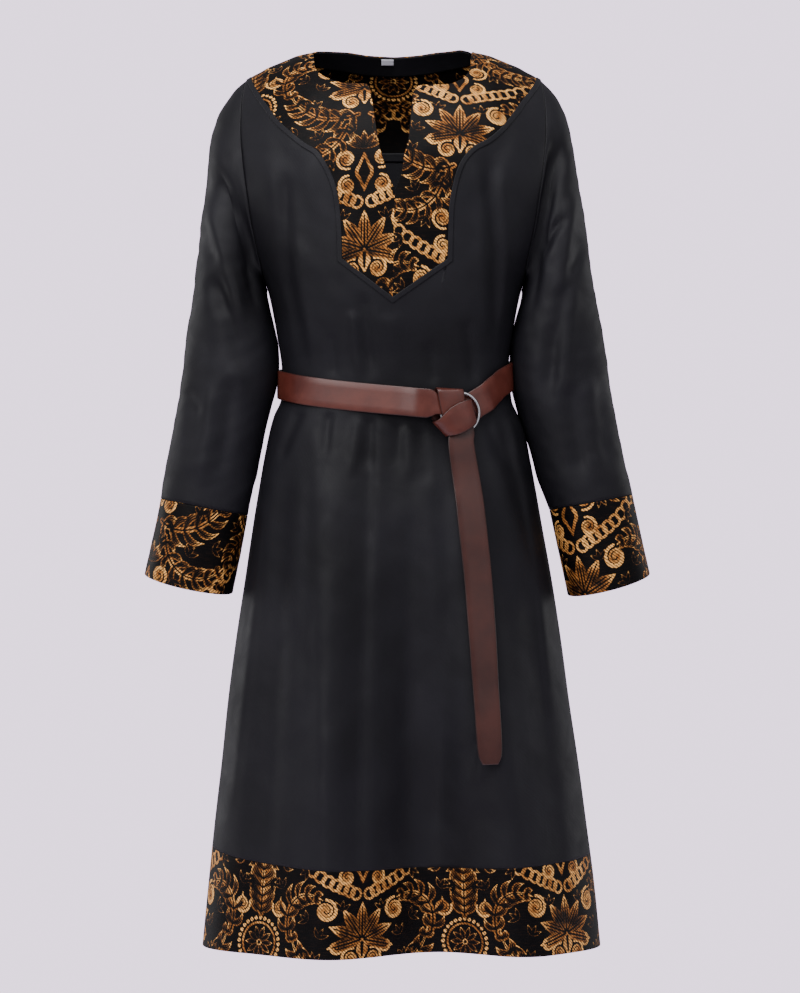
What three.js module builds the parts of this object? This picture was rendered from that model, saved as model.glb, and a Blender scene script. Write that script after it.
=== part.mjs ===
// A long black kaftan, as worn, with brocade yoke, cuffs and hem band, and a leather strap belt
// knotted through a steel ring.  Millimetres, +Z up, +Y to the wearer's back, +X to the left arm.
// The origin is the shoulder line at the middle of the neck.
import * as THREE from 'three';

// ---- driving sizes -------------------------------------------------------------------------
const CLOTH = 1.6;            // panel and sleeve cloth with its lining
const BROCADE = 1.8;          // brocade with its backing
const SEAM = 0.5;             // space between two pieces at a seam
const HEM_Z = -1160;          // lower edge of the hem band
const UNDERARM_Z = -311;      // bottom of the armhole
const TIP_Z = -40;            // top of the armhole, on the shoulder ridge
const FAN_Z = -385;           // level where the front and back begin to open towards the yoke
const ROUND = 2.3;            // squareness of the body's sections (2 is an ellipse)
const SHOULDER_TURN = 170;    // height over which the cloth turns over the shoulder
const ARM_STEPS = 11;         // steps along one side of the armhole
const FRONT_STEPS = 36;       // columns across the front
const BACK_STEPS = 24;        // columns across the back
const STRAP = { width: 37, thick: 2.5 };
const RING = { major: 25.4, wire: 2.0, l: 1, h: -2.2, lift: 9.7 };   // centre l, h on the knot's plane
const LABEL = { x0: -16.4, x1: -0.6, z0: -8.6, z1: -1.4, thick: 0.5 };
const FACING = { depth: 0.18, thick: 0.8 };

// ---- tables --------------------------------------------------------------------------------
// The body's level sections: height, left edge, right edge, depth in front, depth behind.
const TRUNK = [
  [-1160, -248, 268.8, 131, 132], [-1078, -240, 260.5, 131, 132], [-1000, -232, 250.3, 130, 131],
  [-922, -223, 239.9, 129, 130], [-844, -215, 228.2, 128, 129], [-766, -204.8, 217.8, 126, 128],
  [-688, -193, 205.8, 124, 127], [-610, -181.4, 191.8, 120, 125], [-571, -175, 185, 115.5, 121],
  [-532, -168.4, 177.8, 109, 114], [-493, -160.6, 170.2, 104, 103], [-473, -154.8, 161.8, 102.0, 98],
  [-456, -146.8, 154, 101.5, 96], [-440, -144, 152, 103, 96], [-422, -144.5, 149.8, 104, 96],
  [-400, -146.5, 150.5, 107, 98], [-382, -149.5, 153, 112, 101], [-350, -155, 158, 120, 106],
  [-311, -163.5, 166.3, 125, 111], [-285, -175, 177, 126, 114], [-259, -187, 189, 126, 116],
  [-194, -207, 208, 126, 118], [-103, -222, 222, 125, 118], [-44, -225, 225, 125, 118],
  [60, -228, 228, 125, 118],
];
// The armhole seen from the front: height, distance from the middle.
const ARMHOLE = [
  [-311, 163.5], [-300, 167], [-285, 170], [-259, 176], [-226, 182.5], [-194, 187], [-150, 193],
  [-103, 196.5], [-75, 196], [-40, 193],
];
// The shoulder ridge: distance from the middle, height; front and back differ at the neck only.
const RIDGE_FRONT = [
  [0, 6], [60, 2.5], [107, -2.6], [125, -6.5], [138, -11.7], [151, -17], [163, -22],
  [172, -27.3], [183, -33], [193, -40], [204, -49], [230, -80],
];
const RIDGE_BACK = [
  [0, 40], [60, 24], [90, 7.5], [107, -2.6], [125, -6.5], [138, -11.7], [151, -17], [163, -22],
  [172, -27.3], [183, -33], [193, -40], [204, -49], [230, -80],
];
// Front yoke, one row a line: outer x, outer z, inner x, inner z, from the point up to the shoulder.
const YOKE_LEFT = [
  [-64.5, -278, -0.8, -326.5], [-65, -252, -0.4, -282.5], [-66.4, -225.6, 0.4, -239.5],
  [-70.2, -195, 1.5, -196.5], [-80.5, -165.3, -7, -173.3], [-97.3, -140, -12.7, -155],
  [-112.5, -130, -17.8, -136.5], [-130.8, -114.3, -23, -105.8], [-147.8, -97.5, -26.8, -79.4],
  [-161.2, -77.6, -30, -60.4], [-169.4, -65.2, -35.2, -52.2], [-175, -56.4, -62, -50.5],
  [-179.3, -48.6, -89.5, -40.4], [-182.7, -41, -101.4, -27], [-186, -35, -107, -2.6],
];
const YOKE_RIGHT = [
  [68.6, -278, -0.4, -326.5], [69.3, -248, 0, -282.5], [70.2, -216.7, 0.8, -239.5],
  [74, -190, 2.3, -196.5], [84.3, -156.4, 11.4, -168.3], [103.7, -133.5, 14, -150],
  [117.6, -126, 19.7, -126.4], [134.6, -111.7, 22.3, -99.5], [150.4, -92.4, 24.3, -79.4],
  [163.8, -72.5, 25.6, -66.8], [172, -61.3, 34.6, -54.2], [177.5, -53.1, 67.3, -52.4],
  [181.2, -47.3, 85.6, -45.7], [184.2, -40.5, 98.9, -29], [186, -35, 103.4, -2.6],
];
// The back neck edge: x, height.
const NECK_BACK = [
  [-107, -2.6], [-98, 0.5], [-85, 2.2], [-63, 3.2], [-30, 0.6], [0, -0.2], [30, 0.8], [60, 3.4],
  [85, 3.6], [96, 1], [103.4, -2.6],
];
const YOKE_BACK = { halfWidth: 186, top: -35, drop: 92 };
// Long waves of the skirt: x at the waist and at the hem, half width at both, push at the hem.
const WAVES_FRONT = [
  [-62, -90, 34, 60, 38], [-8, 55, 26, 62, -48], [72, 178, 34, 58, 24],
];
const WAVES_BACK = [
  [-80, -120, 36, 60, -24], [5, -10, 30, 62, 30], [84, 125, 34, 60, -26],
];
const WAVE_TOP = -495;
// Sleeve rings: outer x and z, inner (body side) x and z, half depth.
const SLEEVE_LEFT = [
  [-193, -40, -163.6, -311, 60], [-208.7, -53, -163.8, -314, 52], [-223, -74, -163.4, -318.5, 55],
  [-232.7, -98.8, -162.5, -323.5, 58], [-238.6, -126, -161.2, -330, 60],
  [-242.5, -165, -159.4, -339, 61], [-247, -210.6, -157, -351, 62],
  [-252.9, -258.7, -154.3, -366, 62], [-258.7, -304.2, -151.4, -385, 61],
  [-265.2, -349.7, -151.2, -408, 59], [-271.7, -397.8, -153.6, -436, 57],
  [-279.5, -444.6, -160, -466, 55], [-287.3, -492.7, -171.6, -515, 53],
  [-294.5, -538.2, -180.7, -560, 51], [-301.6, -582.4, -188.5, -604.5, 50],
];
const SLEEVE_RIGHT = [
  [193, -40, 166.4, -311, 60], [204.8, -53, 166.6, -314, 52], [217.8, -74, 166.3, -318.5, 55],
  [226.9, -98.8, 165.4, -323.5, 58], [232.7, -126, 164.2, -330, 60],
  [239.2, -165, 162.4, -339, 61], [246.4, -210.6, 160.1, -351, 62],
  [254.2, -258.7, 157.7, -366, 62], [260.7, -304.2, 156.2, -385, 61],
  [267.5, -349.7, 158.9, -408, 59], [276.3, -397.8, 159.3, -434, 57],
  [284.7, -444.6, 163.2, -463, 55], [293.2, -492.7, 176, -511, 53],
  [302.3, -538.2, 187.2, -556, 51], [310.7, -577.2, 202.8, -597, 50],
];
// Cuffs: outer x and z, inner x and z at the lower edge, half depth.
const CUFF_LEFT = [-323, -678.6, -208.7, -703.3, 50];
const CUFF_RIGHT = [332.2, -678.6, 225.6, -705.9, 50];
const CUFF_DIP = 7;           // the front of the cuff hangs this much lower
const ARM_FORWARD = -8;       // the wrists hang this much in front of the shoulders

// ---- curves --------------------------------------------------------------------------------
// Smooth reading of a table at x: cubic between rows, with slopes from the rows on each side.
function look(table, x, column = 1) {
  const up = table[0][0] < table[table.length - 1][0];
  const rows = up ? table : [...table].reverse();
  const n = rows.length;
  if (x <= rows[0][0]) return rows[0][column];
  if (x >= rows[n - 1][0]) return rows[n - 1][column];
  let k = 0;
  while (x > rows[k + 1][0]) k += 1;
  const step = (i) => (rows[i + 1][column] - rows[i][column]) / (rows[i + 1][0] - rows[i][0]);
  const slope = (i) => {
    if (i === 0) return step(0);
    if (i === n - 1) return step(n - 2);
    const a = step(i - 1), b = step(i);
    return a * b <= 0 ? 0 : 2 * a * b / (a + b);
  };
  const h = rows[k + 1][0] - rows[k][0], t = (x - rows[k][0]) / h;
  const a = rows[k][column], b = rows[k + 1][column];
  const t2 = t * t, t3 = t2 * t;
  return a * (2 * t3 - 3 * t2 + 1) + b * (3 * t2 - 2 * t3)
    + h * (slope(k) * (t3 - 2 * t2 + t) + slope(k + 1) * (t3 - t2));
}
const mix = (a, b, t) => a + (b - a) * t;
const smooth = (t) => { const c = Math.min(1, Math.max(0, t)); return c * c * (3 - 2 * c); };

// Push of the long skirt waves at x, z.
function waves(table, x, z) {
  const t = (WAVE_TOP - z) / (WAVE_TOP - HEM_Z);
  if (t <= 0) return 0;
  let sum = 0;
  for (const [xTop, xHem, wTop, wHem, push] of table) {
    const d = (x - mix(xTop, xHem, t)) / mix(wTop, wHem, t);
    sum += push * Math.pow(t, 0.9) * Math.exp(-d * d);
  }
  return sum;
}

// Depth of the body's surface at x, z: side -1 is the front, +1 the back.
function bodyY(x, z, side) {
  const left = look(TRUNK, z, 1), right = look(TRUNK, z, 2);
  const middle = (left + right) / 2, half = (right - left) / 2;
  const depth = look(TRUNK, z, side < 0 ? 3 : 4);
  const u = Math.min(1, Math.abs(x - middle) / half);
  const section = Math.pow(1 - Math.pow(u, ROUND), 1 / ROUND);
  const ridge = look(side < 0 ? RIDGE_FRONT : RIDGE_BACK, Math.abs(x), 1);
  const q = Math.min(1, Math.max(0, (ridge - z) / SHOULDER_TURN));
  const turn = Math.pow(Math.sin(q * Math.PI / 2), 0.6);
  const wave = waves(side < 0 ? WAVES_FRONT : WAVES_BACK, x, z) * Math.min(1, section * 1.3);
  return side * (depth * section * turn + wave + SEAM / 2);
}
// Outward unit normal of that surface, by central differences kept inside the surface.
function bodyNormal(x, z, side) {
  const left = look(TRUNK, z, 1), right = look(TRUNK, z, 2);
  const e = 0.05, xc = Math.min(right - e, Math.max(left + e, x));
  const xa = xc - e, xb = xc + e;
  const yx = (bodyY(xb, z, side) - bodyY(xa, z, side)) / (xb - xa);
  const yz = (bodyY(x, z + e, side) - bodyY(x, z - e, side)) / (2 * e);
  const n = side < 0 ? [yx, -1, yz] : [-yx, 1, -yz];
  const l = Math.hypot(...n);
  return [n[0] / l, n[1] / l, n[2] / l];
}
function bodyPoint(x, z, side) { return { p: [x, bodyY(x, z, side), z], n: bodyNormal(x, z, side) }; }

// ---- solids --------------------------------------------------------------------------------
function meshOf(name, positions, index, colour) {
  const g = new THREE.BufferGeometry();
  g.setAttribute('position', new THREE.Float32BufferAttribute(positions.flat(), 3));
  g.setIndex(index);
  const m = new THREE.Mesh(g, new THREE.MeshStandardMaterial(colour));
  m.name = name;
  return m;
}
// A thin closed solid from a grid of outer points and outward normals.  `wrap` closes the columns.
function clothSolid(name, grid, thick, colour, wrap = false, start = 0) {
  const rows = grid.length, cols = grid[0].length, pts = [];
  for (const row of grid) for (const { p, n } of row) pts.push(p.map((c, i) => c - n[i] * start));
  for (const row of grid) {
    for (const { p, n } of row) pts.push(p.map((c, i) => c - n[i] * (start + thick)));
  }
  const half = rows * cols, id = (j, i, s) => s * half + j * cols + (i % cols);
  // which way round do the outer faces go?
  const jm = Math.floor(rows / 2), im = Math.floor(cols / 3);
  const a = pts[id(jm - 1, im, 0)], b = pts[id(jm - 1, im + 1, 0)], c = pts[id(jm, im, 0)];
  const u = b.map((v, i) => v - a[i]), w = c.map((v, i) => v - a[i]);
  const cross = [u[1] * w[2] - u[2] * w[1], u[2] * w[0] - u[0] * w[2], u[0] * w[1] - u[1] * w[0]];
  const n0 = grid[jm - 1][im].n;
  const flip = cross[0] * n0[0] + cross[1] * n0[1] + cross[2] * n0[2] < 0;
  const index = [];
  const quad = (p, q, r, s) => {
    if (flip) index.push(p, r, q, p, s, r); else index.push(p, q, r, p, r, s);
  };
  const last = wrap ? cols : cols - 1;
  for (let j = 0; j < rows - 1; j += 1) {
    for (let i = 0; i < last; i += 1) {
      quad(id(j, i, 0), id(j, i + 1, 0), id(j + 1, i + 1, 0), id(j + 1, i, 0));
      quad(id(j, i, 1), id(j + 1, i, 1), id(j + 1, i + 1, 1), id(j, i + 1, 1));
    }
  }
  for (let i = 0; i < last; i += 1) {
    quad(id(0, i, 0), id(0, i, 1), id(0, i + 1, 1), id(0, i + 1, 0));
    const j = rows - 1;
    quad(id(j, i, 0), id(j, i + 1, 0), id(j, i + 1, 1), id(j, i, 1));
  }
  if (!wrap) {
    for (let j = 0; j < rows - 1; j += 1) {
      quad(id(j, 0, 0), id(j + 1, 0, 0), id(j + 1, 0, 1), id(j, 0, 1));
      const i = cols - 1;
      quad(id(j, i, 0), id(j, i, 1), id(j + 1, i, 1), id(j + 1, i, 0));
    }
  }
  return meshOf(name, pts, index, colour);
}

const BLACK = { color: 0x1d1c20, roughness: 0.5, metalness: 0.0 };
const GOLD = { color: 0x6e4c2c, roughness: 0.5, metalness: 0.1 };
const LEATHER = { color: 0x4a2724, roughness: 0.45, metalness: 0.0 };
const STEEL = { color: 0xc9c9cc, roughness: 0.25, metalness: 1.0 };
const TAPE = { color: 0xdcd9e2, roughness: 0.8, metalness: 0.0 };

// ---- body panels ---------------------------------------------------------------------------
// Upper end of the hem band: it dips a little in front.
function bandTop(u, side) {
  const mid = side < 0 ? -1052 : -1040;
  return mix(mix(-1031, -1041, (u + 1) / 2), mid, Math.pow(1 - u * u, 0.6));
}
// Column positions across a level, as fractions of the half width: even turns below, and
// drawn towards the placket's corners near the fan level.
function columnU(k, steps, z) {
  const even = Math.sin((k / steps - 0.5) * Math.PI);
  const s = 2 * k / steps - 1, corner = 6 / steps, away = Math.abs(s);
  const drawn = away <= corner ? 0.3 * s / corner
    : Math.sign(s) * (0.3 + 0.7 * Math.pow((away - corner) / (1 - corner), 0.92));
  const blend = 1 - smooth((FAN_Z - z) / 190);
  return mix(even, mix(even, drawn, 0.85), steps === FRONT_STEPS ? blend : 0);
}
function levelPoint(k, steps, z, side) {
  const left = look(TRUNK, z, 1), right = look(TRUNK, z, 2);
  const u = columnU(k, steps, z);
  return [(left + right) / 2 + u * (right - left) / 2, z];
}
const armZ = (k) => (UNDERARM_Z + TIP_Z) / 2 - (TIP_Z - UNDERARM_Z) / 2 * Math.cos(Math.PI * k / ARM_STEPS);
function armX(z, hand) {
  const extra = hand > 0 ? 2.8 * (1 - smooth((z - UNDERARM_Z) / 40)) : 0;
  return hand * (look(ARMHOLE, z) + extra);
}
// Edge of the panel from the fan level up to the shoulder tip.
function sideEdge(hand) {
  const at = (z) => [look(TRUNK, z, hand < 0 ? 1 : 2), z];
  const edge = [at(FAN_Z), at((FAN_Z + UNDERARM_Z) / 2)];
  for (let k = 0; k <= ARM_STEPS; k += 1) {
    const z = armZ(k);
    edge.push([armX(z, hand), z]);
  }
  return edge;
}
// A patch between four edges, each edge carrying the shape of its own curve inwards.
function fanRows(bottom, top, left, right) {
  const rows = left.length, cols = bottom.length, grid = [];
  let lengths = [0];
  for (let j = 1; j < rows; j += 1) {
    lengths.push(lengths[j - 1] + Math.hypot(left[j][0] - left[j - 1][0], left[j][1] - left[j - 1][1]));
  }
  for (let j = 1; j < rows; j += 1) {
    const v = lengths[j] / lengths[rows - 1], row = [];
    for (let i = 0; i < cols; i += 1) {
      const s = i / (cols - 1);
      row.push([0, 1].map((c) => mix(bottom[i][c], top[i][c], v) + mix(left[j][c], right[j][c], s)
        - mix(mix(left[0][c], right[0][c], s), mix(left[rows - 1][c], right[rows - 1][c], s), v)));
    }
    grid.push(row);
  }
  return grid;
}
const ridgePoint = (x) => [x, look(RIDGE_FRONT, Math.abs(x))];

function yokeBackOuter(k, steps) {
  const t = Math.PI * k / steps, c = Math.cos(t);
  if (k === 0 || k === steps) return ridgePoint(-Math.sign(c) * YOKE_BACK.halfWidth);
  return [-YOKE_BACK.halfWidth * Math.sign(c) * Math.pow(Math.abs(c), 0.8),
    YOKE_BACK.top - YOKE_BACK.drop * Math.pow(Math.sin(t), 0.8)];
}
function yokeTopEdge(side) {
  const edge = [ridgePoint(-193)];
  if (side < 0) {
    for (let r = YOKE_LEFT.length - 1; r >= 0; r -= 1) {
      edge.push(r === YOKE_LEFT.length - 1 ? ridgePoint(-186) : YOKE_LEFT[r].slice(0, 2));
    }
    const point = (row, t) => [mix(row[0], row[2], t), mix(row[1], row[3], t)];
    edge.push(point(YOKE_LEFT[0], 1 / 3), point(YOKE_LEFT[0], 2 / 3), [-0.6, -326.5],
      point(YOKE_RIGHT[0], 2 / 3), point(YOKE_RIGHT[0], 1 / 3));
    for (let r = 0; r < YOKE_RIGHT.length; r += 1) {
      edge.push(r === YOKE_RIGHT.length - 1 ? ridgePoint(186) : YOKE_RIGHT[r].slice(0, 2));
    }
  } else {
    for (let k = 0; k <= BACK_STEPS - 2; k += 1) edge.push(yokeBackOuter(k, BACK_STEPS - 2));
  }
  edge.push(ridgePoint(193));
  return edge;
}
// A line of the x, z plan moved one seam's width to its right-hand side, mitred at its corners.
function seamAside(line) {
  const n = line.length;
  const aside = (a, b) => {
    const dx = b[0] - a[0], dz = b[1] - a[1], l = Math.hypot(dx, dz);
    return [dz / l, -dx / l];
  };
  return line.map((p, k) => {
    if (k === 0 || k === n - 1) return p;
    if (k === 1 || k === n - 2) return ridgePoint(p[0] + Math.sign(p[0]) * 1.4 * SEAM);
    const a = aside(line[k - 1], p), b = aside(p, line[k + 1]);
    const m = [a[0] + b[0], a[1] + b[1]], l2 = m[0] * m[0] + m[1] * m[1];
    return [p[0] + 2 * SEAM * m[0] / l2, p[1] + 2 * SEAM * m[1] / l2];
  });
}
function panel(name, side) {
  const steps = side < 0 ? FRONT_STEPS : BACK_STEPS;
  const levels = [-1000, -940, -880, -820, -760, -700, -645, -595, -550, -515, -490, -470, -450,
    -430, -412, FAN_Z];
  const grid = [];
  const rowAt = (f) => grid.push(Array.from({ length: steps + 1 }, (_, k) => {
    const [x, z] = f(k);
    return bodyPoint(x, z, side);
  }));
  rowAt((k) => {
    const u = columnU(k, steps, -1050), z = bandTop(u, side) + SEAM;
    const left = look(TRUNK, z, 1), right = look(TRUNK, z, 2);
    return [(left + right) / 2 + u * (right - left) / 2, z];
  });
  for (const z of levels) rowAt((k) => levelPoint(k, steps, z, side));
  const bottom = Array.from({ length: steps + 1 }, (_, k) => levelPoint(k, steps, FAN_Z, side));
  const top = yokeTopEdge(side), left = sideEdge(-1), right = sideEdge(1);
  left[left.length - 1] = top[0];
  right[right.length - 1] = top[top.length - 1];
  const fan = fanRows(bottom, seamAside(top), left, right);
  for (const row of fan) rowAt((k) => row[k]);
  return clothSolid(name, grid, CLOTH, BLACK);
}

function hemBand(name, side) {
  const steps = side < 0 ? FRONT_STEPS : BACK_STEPS, grid = [];
  for (const t of [0, 0.34, 0.67, 1]) {
    grid.push(Array.from({ length: steps + 1 }, (_, k) => {
      const u = columnU(k, steps, -1050), z = mix(HEM_Z, bandTop(u, side), t);
      const left = look(TRUNK, z, 1), right = look(TRUNK, z, 2);
      return bodyPoint((left + right) / 2 + u * (right - left) / 2, z, side);
    }));
  }
  return clothSolid(name, grid, BROCADE, GOLD);
}

function yokeFront(name, table, hand) {
  const grid = table.map((row, r) => [0, 1 / 3, 2 / 3, 1].map((t) => {
    const shoulder = r === table.length - 1;
    const x = mix(row[0], row[2], t);
    const z = shoulder ? look(RIDGE_FRONT, Math.abs(x)) : mix(row[1], row[3], t);
    return bodyPoint(x, z, -1);
  }));
  return clothSolid(name, grid, BROCADE, GOLD);
}

const BACK_ROWS = [0, FACING.depth, 0.42, 0.7, 1];
function yokeBackXZ(k, t) {
  const steps = BACK_STEPS - 2;
  const across = (1 - Math.cos(Math.PI * k / steps)) / 2;
  const nx = mix(-107, 103.4, across), neck = [nx, look(NECK_BACK, nx)];
  const outer = yokeBackOuter(k, steps);
  const x = mix(neck[0], outer[0], t);
  const seamRow = k === 0 || k === steps;
  return [x, seamRow ? look(RIDGE_BACK, Math.abs(x)) : mix(neck[1], outer[1], t)];
}
function yokeBack() {
  const grid = BACK_ROWS.map((t) => Array.from({ length: BACK_STEPS - 1 }, (_, k) => {
    const [x, z] = yokeBackXZ(k, t);
    return bodyPoint(x, z, 1);
  }));
  return clothSolid('yoke_back', grid, BROCADE, GOLD);
}
function neckFacing() {
  const grid = [0, FACING.depth].map((t) => Array.from({ length: BACK_STEPS - 5 }, (_, i) => {
    const [x, z] = yokeBackXZ(i + 2, t);
    return bodyPoint(x, z, 1);
  }));
  return clothSolid('neck_facing', grid, FACING.thick, BLACK, false, BROCADE + 0.3);
}
function label() {
  const grid = [LABEL.z0, LABEL.z1].map((z) => [LABEL.x0, (LABEL.x0 + LABEL.x1) / 2, LABEL.x1]
    .map((x) => bodyPoint(x, z, 1)));
  return clothSolid('label', grid, LABEL.thick, TAPE, false, BROCADE + 0.3 + FACING.thick + 1.0);
}

// ---- sleeves and cuffs ---------------------------------------------------------------------
// Ring of points round the arm: index 0 under the arm, up the front, over the top, down the back.
const AROUND = 2 * ARM_STEPS;
function sleeveRing(row, r, hand, last) {
  const [ox, oz, ix, iz, depth] = row;
  const w = smooth(r / 4.5), forward = ARM_FORWARD * smooth(r / last);
  const cx = (ox + ix) / 2, cz = (oz + iz) / 2, ring = [];
  for (let m = 0; m < AROUND; m += 1) {
    const k = m <= ARM_STEPS ? m : AROUND - m, side = m <= ARM_STEPS ? -1 : 1;
    const psi = Math.PI * m / ARM_STEPS, c = Math.cos(psi);
    const z0 = armZ(k), x0 = armX(z0, hand);
    const chord = mix(armX(UNDERARM_Z, hand), armX(TIP_Z, hand), (1 - c) / 2);
    const bulge = (x0 - chord) * (1 - w);
    const armY = k === 0 || k === ARM_STEPS ? 0 : bodyY(x0, z0, side);
    const y = mix(armY, -depth * Math.sin(psi), w) + forward;
    ring.push([cx + (ix - cx) * c + bulge, y, cz + (iz - cz) * c]);
  }
  return ring;
}
function tubeNormals(rings) {
  const rows = rings.length, n = AROUND;
  return rings.map((ring, j) => ring.map((p, i) => {
    const a = ring[(i + 1) % n], b = ring[(i + n - 1) % n];
    const c = rings[Math.min(rows - 1, j + 1)][i], d = rings[Math.max(0, j - 1)][i];
    const u = [a[0] - b[0], a[1] - b[1], a[2] - b[2]], v = [c[0] - d[0], c[1] - d[1], c[2] - d[2]];
    let q = [u[1] * v[2] - u[2] * v[1], u[2] * v[0] - u[0] * v[2], u[0] * v[1] - u[1] * v[0]];
    const centre = [0, 1, 2].map((c2) => ring.reduce((s, r) => s + r[c2], 0) / n);
    const dot = q[0] * (p[0] - centre[0]) + q[1] * (p[1] - centre[1]) + q[2] * (p[2] - centre[2]);
    const l = Math.hypot(...q) * Math.sign(dot || 1);
    q = q.map((x) => x / l);
    return { p, n: q };
  }));
}
function armRings(sleeve, cuff, hand) {
  const last = sleeve.length - 1;
  const rings = sleeve.map((row, r) => sleeveRing(row, r, hand, last));
  const steps = 2, top = sleeve[last];
  for (let s = 1; s <= steps; s += 1) {
    const row = top.map((v, c) => mix(v, cuff[c], s / steps));
    const ring = sleeveRing(row, last, hand, last);
    rings.push(ring.map((p, m) => [p[0], p[1],
      p[2] - CUFF_DIP * (s / steps) * Math.max(0, Math.sin(Math.PI * m / ARM_STEPS))]));
  }
  return rings;
}
function sleeveAndCuff(side, sleeve, cuff, hand) {
  const rings = armRings(sleeve, cuff, hand), last = sleeve.length - 1;
  const shifted = (from, to, d) => from.map((p, i) => {
    const l = Math.hypot(to[i][0] - p[0], to[i][1] - p[1], to[i][2] - p[2]);
    return p.map((c, a) => c + (to[i][a] - c) * d / l);
  });
  const upper = rings.slice(0, last + 1), lower = rings.slice(last);
  const sleeveRings = [shifted(rings[0], rings[1], SEAM), ...upper.slice(1)];
  const all = tubeNormals(rings);
  const top = tubeNormals(sleeveRings);
  top[last] = all[last];
  const cuffGrid = lower.map((ring, j) => ring.map((p, i) => ({ p, n: all[last + j][i].n })));
  const moved = shifted(lower[0], lower[1], SEAM);
  cuffGrid[0] = cuffGrid[0].map((v, i) => ({ p: moved[i], n: v.n }));
  return [clothSolid(`sleeve_${side}`, top, CLOTH, BLACK, true),
    clothSolid(`cuff_${side}`, cuffGrid, BROCADE, GOLD, true)];
}

// ---- belt ----------------------------------------------------------------------------------
// The waist's section and a point on it, lifted off the cloth.
const WAIST = { x: 3, half: 150, front: 103.5, back: 97 };
function waistAt(angle, lift) {
  const s = Math.sin(angle), c = Math.cos(angle), e = 2 / ROUND;
  const x = WAIST.half * Math.sign(s) * Math.pow(Math.abs(s), e);
  const depth = c > 0 ? WAIST.front : WAIST.back;
  const y = -depth * Math.sign(c) * Math.pow(Math.abs(c), e);
  const nx = Math.sign(x) * Math.pow(Math.abs(x / WAIST.half), ROUND - 1) / WAIST.half;
  const ny = Math.sign(y) * Math.pow(Math.abs(y / depth), ROUND - 1) / depth;
  const l = Math.hypot(nx, ny);
  return [WAIST.x + x + lift * nx / l, y + lift * ny / l];
}
const angleAtX = (x) => Math.asin(Math.pow((x - WAIST.x) / WAIST.half, ROUND / 2));
// The knot lies in the plane that touches the waist here; l runs right, h up and q outwards.
const KNOT = { x: 80.5, z: -470.5, turn: 19 * Math.PI / 180 };
const KNOT_XY = waistAt(angleAtX(KNOT.x), 1.2);
function knotPoint(l, h, q) {
  const c = Math.cos(KNOT.turn), s = Math.sin(KNOT.turn);
  return [KNOT_XY[0] + l * c + q * s, KNOT_XY[1] + l * s - q * c, KNOT.z + h];
}
const knotWay = (l, h) => [l * Math.cos(KNOT.turn), l * Math.sin(KNOT.turn), h];

// First part of the strap: its sewn end behind, round the ring and away to the left.
const STRAP_START = [
  // l, h, q, width way l and h, width
  [-54, 9.9, 5.0, 0.1, 1, 25], [-44, 9.0, 5.2, 0.1, 1, 24], [-32, 7, 5.3, 0.15, 0.99, 22],
  [-22.4, 4.2, 5.8, 0.2, 0.98, 20], [-17.7, 2.5, 7.3, 0.2, 0.98, 18], [-16.5, 2.1, 9.7, 0.2, 0.98, 18],
  [-17.7, 2.5, 12.1, 0.2, 0.98, 18], [-22.8, 4.4, 13.4, 0.2, 0.98, 20], [-30.5, 6.9, 13.2, 0.17, 0.985, 24.5],
  [-36.5, 8.2, 12.8, 0.14, 0.99, 32], [-42, 9.2, 12, 0.12, 0.99, 36.5], [-50, 9.8, 10.6, 0.1, 1, 37],
  [-61, 10.6, 8.6, 0.1, 1, 37],
];
// Round the waist: angle from the front (degrees, left negative), height, lift.
const STRAP_ROUND = [
  [-2, -456, 3.6], [-14, -454, 3.1], [-27, -450, 3.1], [-40, -446, 3.1], [-53, -442, 3.5],
  [-66, -438, 3.1], [-79, -435, 3.1], [-92, -433, 3.1], [-105, -431, 3.1], [-120, -429, 3.1],
  [-135, -428, 3.1], [-150, -427, 3.1], [-165, -426, 3.1], [-180, -425, 3.1], [-195, -424, 3.1],
  [-210, -423, 3.1], [-225, -422, 3.1], [-240, -421, 3.1], [-255, -420.5, 3.1], [-268, -421, 3.1],
  [-281, -424, 3.1], [-293, -429.5, 3.1], [-304, -437, 3.1],
];
// The last of the round part leans over, evenly past an angle, into the knot's plane.
const STRAP_LEAN = { most: -0.42, from: -262, over: 46 };
// Last part: behind the ring, up through it, across the front, behind the belt and down again.
const STRAP_KNOT = [
  [44, 19.8, 3.0, -0.4, 0.92, 36.5], [34, 14.4, 3.8, -0.42, 0.91, 36], [27, 10.6, 4.6, -0.42, 0.91, 36],
  [21.5, 7.2, 5, -0.38, 0.925, 36], [17, 3.6, 6, -0.31, 0.95, 35], [14.4, 1.3, 9.6, -0.26, 0.966, 32],
  [14, 1.1, 13.6, -0.26, 0.966, 32.6], [13.4, 0.6, 17.6, -0.28, 0.96, 33.5],
  [10, -2.0, 20.3, -0.35, 0.937, 34.5], [2, -6.6, 21.4, -0.44, 0.9, 36],
  [-7, -11.8, 21.3, -0.5, 0.866, 35.5], [-16, -17, 20.6, -0.57, 0.82, 31.5],
  [-23, -21, 17.8, -0.64, 0.77, 25.6], [-26.6, -23, 12.2, -0.68, 0.73, 25],
  [-25.6, -22.4, 7, -0.74, 0.67, 25.5], [-21.6, -18.6, 4.0, -0.82, 0.57, 30],
  [-18.6, -9, 2.3, -0.92, 0.39, 33], [-16.4, 4, 2.2, -0.97, 0.22, 34.5],
  [-15.2, 16, 2.2, -0.99, 0.12, 35], [-14.8, 24.4, 4.2, -1, 0.06, 35],
  [-14.6, 27.4, 9.2, -1, 0.05, 35], [-14.4, 25.8, 14.8, -1, 0, 35],
  [-13.4, 19.5, 16.5, -0.98, -0.18, 35], [-11.8, 8.5, 16.7, -0.965, -0.26, 34],
  [-8.2, -4, 16.4, -0.96, -0.28, 33.5], [-2, -17, 15.2, -0.96, -0.28, 32.5],
  [3.1, -27.5, 13.6, -0.97, -0.22, 30.4],
];
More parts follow.
